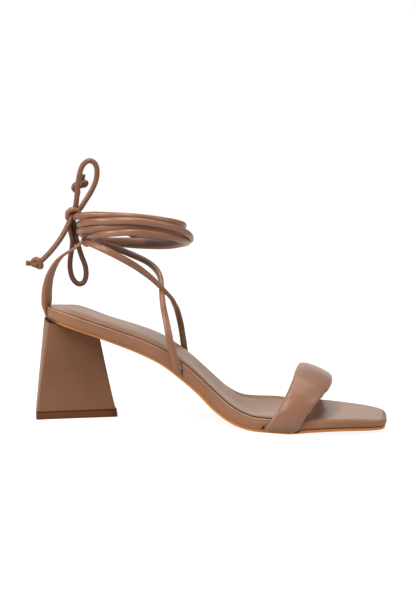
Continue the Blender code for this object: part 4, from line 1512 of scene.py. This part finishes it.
UPPER_LOOP = (
    # x, y, z, as in the four routes that follow
    (15.2, -1.4, 137.6), (16.4, -3.0, 140.4), (17.1, -4.0, 143.6), (17.4, -4.0, 150.0), (17.7, -4.0, 157.4),
    (18.6, -4.0, 164.9), (20.7, -4.0, 170.4), (24.6, -4.0, 173.0), (28.4, -4.0, 171.0), (29.9, -4.0, 166.0),
    (29.4, -4.0, 159.6), (26.8, -4.0, 152.7), (23.5, -4.0, 146.6), (20.3, -4.0, 141.1), (17.6, -2.2, 137.8),
)
LOWER_LOOP = (
    (13.6, 0.6, 136.6), (13.2, 3.4, 132.4), (13.4, 5.2, 128.0), (14.6, 5.8, 123.6), (16.0, 6.0, 118.6),
    (16.1, 6.6, 112.7), (15.4, 6.8, 106.4), (15.4, 6.8, 99.8), (16.8, 6.8, 93.7), (19.5, 6.8, 89.6),
    (22.8, 6.8, 88.3), (25.6, 6.8, 90.2), (26.6, 6.8, 95.2), (25.6, 6.8, 101.1), (23.0, 6.8, 107.0),
    (21.0, 6.8, 112.2), (18.9, 7.6, 118.4), (17.2, 8.6, 124.0), (16.4, 7.6, 129.0), (15.6, 4.8, 133.2),
    (14.8, 1.6, 136.6),
)
NEAR_END = (
    (15.0, -1.4, 138.0), (14.9, -3.6, 136.6), (14.5, -5.2, 134.6), (13.0, -6.9, 131.0), (10.2, -9.5, 124.7),
    (6.4, -11.5, 118.0), (1.7, -12.6, 111.5), (-1.2, -12.8, 108.1), (-3.4, -13.4, 105.8),
    (-5.3, -14.6, 104.4), (-7.0, -15.3, 103.2), (-8.5, -14.9, 102.3), (-9.6, -14.3, 103.0),
    (-9.5, -14.2, 104.6), (-8.3, -14.8, 106.0), (-6.5, -15.8, 106.1), (-5.1, -16.4, 105.0),
    (-4.4, -16.2, 103.4), (-4.0, -15.2, 101.9), (-4.6, -13.6, 101.0), (-6.2, -12.4, 101.3),
    (-8.2, -12.0, 102.2), (-10.4, -12.4, 102.9), (-14.2, -13.0, 103.1),
)
FAR_END = (
    (15.4, 1.4, 137.8), (16.6, 3.8, 139.6), (17.1, 5.0, 142.6), (17.5, 5.4, 147.0), (17.9, 5.8, 149.6),
    (18.0, 6.0, 151.4), (16.4, 4.2, 151.8), (15.0, 3.6, 153.8), (16.6, 4.6, 156.0), (19.6, 6.6, 155.8),
    (22.2, 6.0, 155.6), (23.2, 4.4, 157.4), (21.6, 3.2, 157.6), (19.8, 3.0, 155.2), (19.8, 5.0, 155.6),
    (20.2, 6.2, 158.4), (20.6, 5.8, 160.8), (20.8, 5.4, 162.8),
)
WRAP_TURN = (
    (12.0, -4.4, 134.6), (11.8, -5.6, 137.2), (13.2, -6.4, 139.2), (15.4, -6.6, 140.0), (17.8, -6.0, 139.4),
    (19.2, -4.4, 138.0), (19.2, -1.2, 136.8), (18.0, 2.4, 136.0), (15.2, 3.6, 135.0), (12.8, 1.4, 134.2),
    (11.9, -1.6, 133.9), (12.0, -4.4, 134.6),
)


@dataclass
class Bow:
    """Knot, two loops and two knotted ends, each a limp leather cord."""

    shop: Workshop
    sweep: PathSweep
    radius: float = 1.78
    knot_proud: float = 0.1
    pitch: float = 0.6
    # painted shade on the cords' far side
    far_across: Pair = (-2.0, 6.0)
    far_shade: float = 0.3

    def cord(self, name: str, route: Sequence[Point], nodes: Sequence[str]) -> None:
        """Args:
            name: the piece's name.
            route: its points.
            nodes: the CAD nodes it stands in for.
        """
        path = even(route, self.pitch)
        obj = self.sweep.run(name, path, (self.radius, self.radius), CORD)
        # painted shade on the far side
        self.shop.paint_shade(obj, self.far_across, self.far_shade)
        self.shop.finish(obj, CORD, Slot.TIE, *nodes)
        line = [tuple(float(v) for v in p) for p in self.shop.shoe.place(path)]

    def knot(self) -> None:
        """Build the turn of cord that holds the loops."""
        half = (self.radius + self.knot_proud, self.radius)
        obj = self.sweep.run("bow_wrap", even(WRAP_TURN, self.pitch), half, TIE)
        self.shop.finish(obj, TIE, Slot.TIE, "bow_knot")

    def build(self) -> None:
        """Build the knot, the loops and the ends."""
        self.knot()
        self.cord("bow_upper", UPPER_LOOP, ["bow_loop_upper"])
        self.cord("bow_lower", LOWER_LOOP, ["bow_loop_lower"])
        for side, route, lay in (("near", NEAR_END, "hanging"), ("far", FAR_END, "loose")):
            nodes = [f"tie_end_{side}{part}" for part in ("", "_knot", "_stub")]
            self.cord(f"bow_{side}_end", route, nodes)


# Studio


@dataclass(frozen=True)
class Softbox:
    """One square studio light."""

    name: str
    place: Point
    target: Point
    size: float
    power: float

    def build(self) -> None:
        """Hang the light."""
        lamp = bpy.data.lights.new(self.name, "AREA")
        lamp.shape = "SQUARE"
        lamp.size = self.size
        lamp.energy = self.power
        obj = bpy.data.objects.new(self.name, lamp)
        obj.location = self.place
        obj.rotation_euler = (Vector(self.target) - Vector(self.place)).to_track_quat("-Z", "Y").to_euler()
        bpy.context.scene.collection.objects.link(obj)


@dataclass
class Studio:
    """White sweep, soft light and the photograph's camera."""

    shoe: ShoeFrame
    distance: float = 1.3
    elevation: float = 7.7
    yaw: float = -5.0
    roll: float = 3.6
    pixel: float = 0.00068
    rows: int = 601
    target: Point = (110.0, 0.0, 82.4)
    sensor: float = 36.0
    world: float = 0.24
    floor_half: float = 1.1
    floor_depth: Pair = (-0.7, 1.6)
    floor_bend: float = 0.9
    wall_top: float = 3.2
    lights: tuple[Softbox, ...] = (
        Softbox("key", (-0.55, -0.95, 1.05), (0.0, 0.0, 0.06), 0.7, 14.5),
        Softbox("left", (-1.05, -0.30, 0.55), (0.0, 0.0, 0.06), 0.35, 8.0),
        Softbox("spark", (-0.34, -0.34, 1.24), (0.05, -0.03, 0.02), 0.12, 4.5),
        Softbox("top", (0.05, 0.15, 1.20), (0.0, 0.0, 0.05), 0.9, 10.0),
        Softbox("right", (0.95, -0.60, 0.75), (0.0, 0.0, 0.06), 0.7, 6.0),
    )

    def camera(self) -> None:
        """Set the camera at the photograph's angle."""
        yaw, rise, roll = (math.radians(v) for v in (self.yaw, self.elevation, self.roll))
        right = Vector((math.cos(yaw), math.sin(yaw), 0.0))
        level = Vector((math.sin(yaw), -math.cos(yaw), 0.0))
        back = level * math.cos(rise) + Vector((0.0, 0.0, math.sin(rise)))
        up = back.cross(right)
        rolled = (right * math.cos(roll) + up * math.sin(roll), up * math.cos(roll) - right * math.sin(roll))
        lens = bpy.data.cameras.new("camera")
        lens.sensor_width = self.sensor
        lens.lens = self.sensor * self.distance / (self.rows * self.pixel)
        obj = bpy.data.objects.new("camera", lens)
        matrix = Matrix((*rolled, back)).transposed().to_4x4()
        matrix.translation = Vector(self.shoe.place(np.array(self.target))) + back * self.distance
        obj.matrix_world = matrix
        bpy.context.scene.collection.objects.link(obj)
        bpy.context.scene.camera = obj

    def floor(self) -> None:
        """Lay a white floor that curves up behind the shoe."""
        turn = np.linspace(0.0, math.pi / 2.0, 25)
        front, back = self.floor_depth
        bend = self.floor_bend
        y = np.concatenate([[front], back + bend * np.sin(turn), [back + bend]])
        z = np.concatenate([[0.0], bend * (1.0 - np.cos(turn)), [self.wall_top]])
        sides = (-self.floor_half, self.floor_half)
        points = [(x, float(b), float(c)) for b, c in zip(y, z) for x in sides]
        faces = [(2 * i, 2 * i + 1, 2 * i + 3, 2 * i + 2) for i in range(len(y) - 1)]
        mesh = bpy.data.meshes.new("sweep")
        mesh.from_pydata(points, [], faces)
        mesh.shade_smooth()
        mesh.materials.append(Paper("white sweep").material())
        obj = bpy.data.objects.new("sweep", mesh)
        bpy.context.scene.collection.objects.link(obj)

    def surround(self) -> None:
        """Fill the room with even pale light."""
        world = bpy.data.worlds.new("room")
        bpy.context.scene.world = world
        world.use_nodes = True
        back = world.node_tree.nodes["Background"]
        back.inputs["Color"].default_value = (1.0, 1.0, 1.0, 1.0)
        back.inputs["Strength"].default_value = self.world

    def build(self) -> None:
        """Build camera, floor and lights."""
        self.camera()
        self.floor()
        self.surround()
        for light in self.lights:
            light.build()
        bpy.context.scene.view_settings.view_transform = "Standard"


def main() -> None:
    """Build the studio, then the shoe piece by piece."""
    logging.basicConfig(level=logging.INFO, format="%(name)s: %(message)s")
    shop = Workshop(ShoeFrame.of_part())
    sweep = PathSweep(shop)
    Studio(shop.shoe).build()
    sole = Sole(shop, sweep)
    Bow(shop, sweep).build()
    sole.build()
    Heel(shop, sole).build()
    ToeStrap(shop).build()
    Straps(shop).build()
    AnkleRing(shop, sweep).build()
    LOG.info("%d pieces", shop.pieces)


if __name__ == "__main__":
    main()
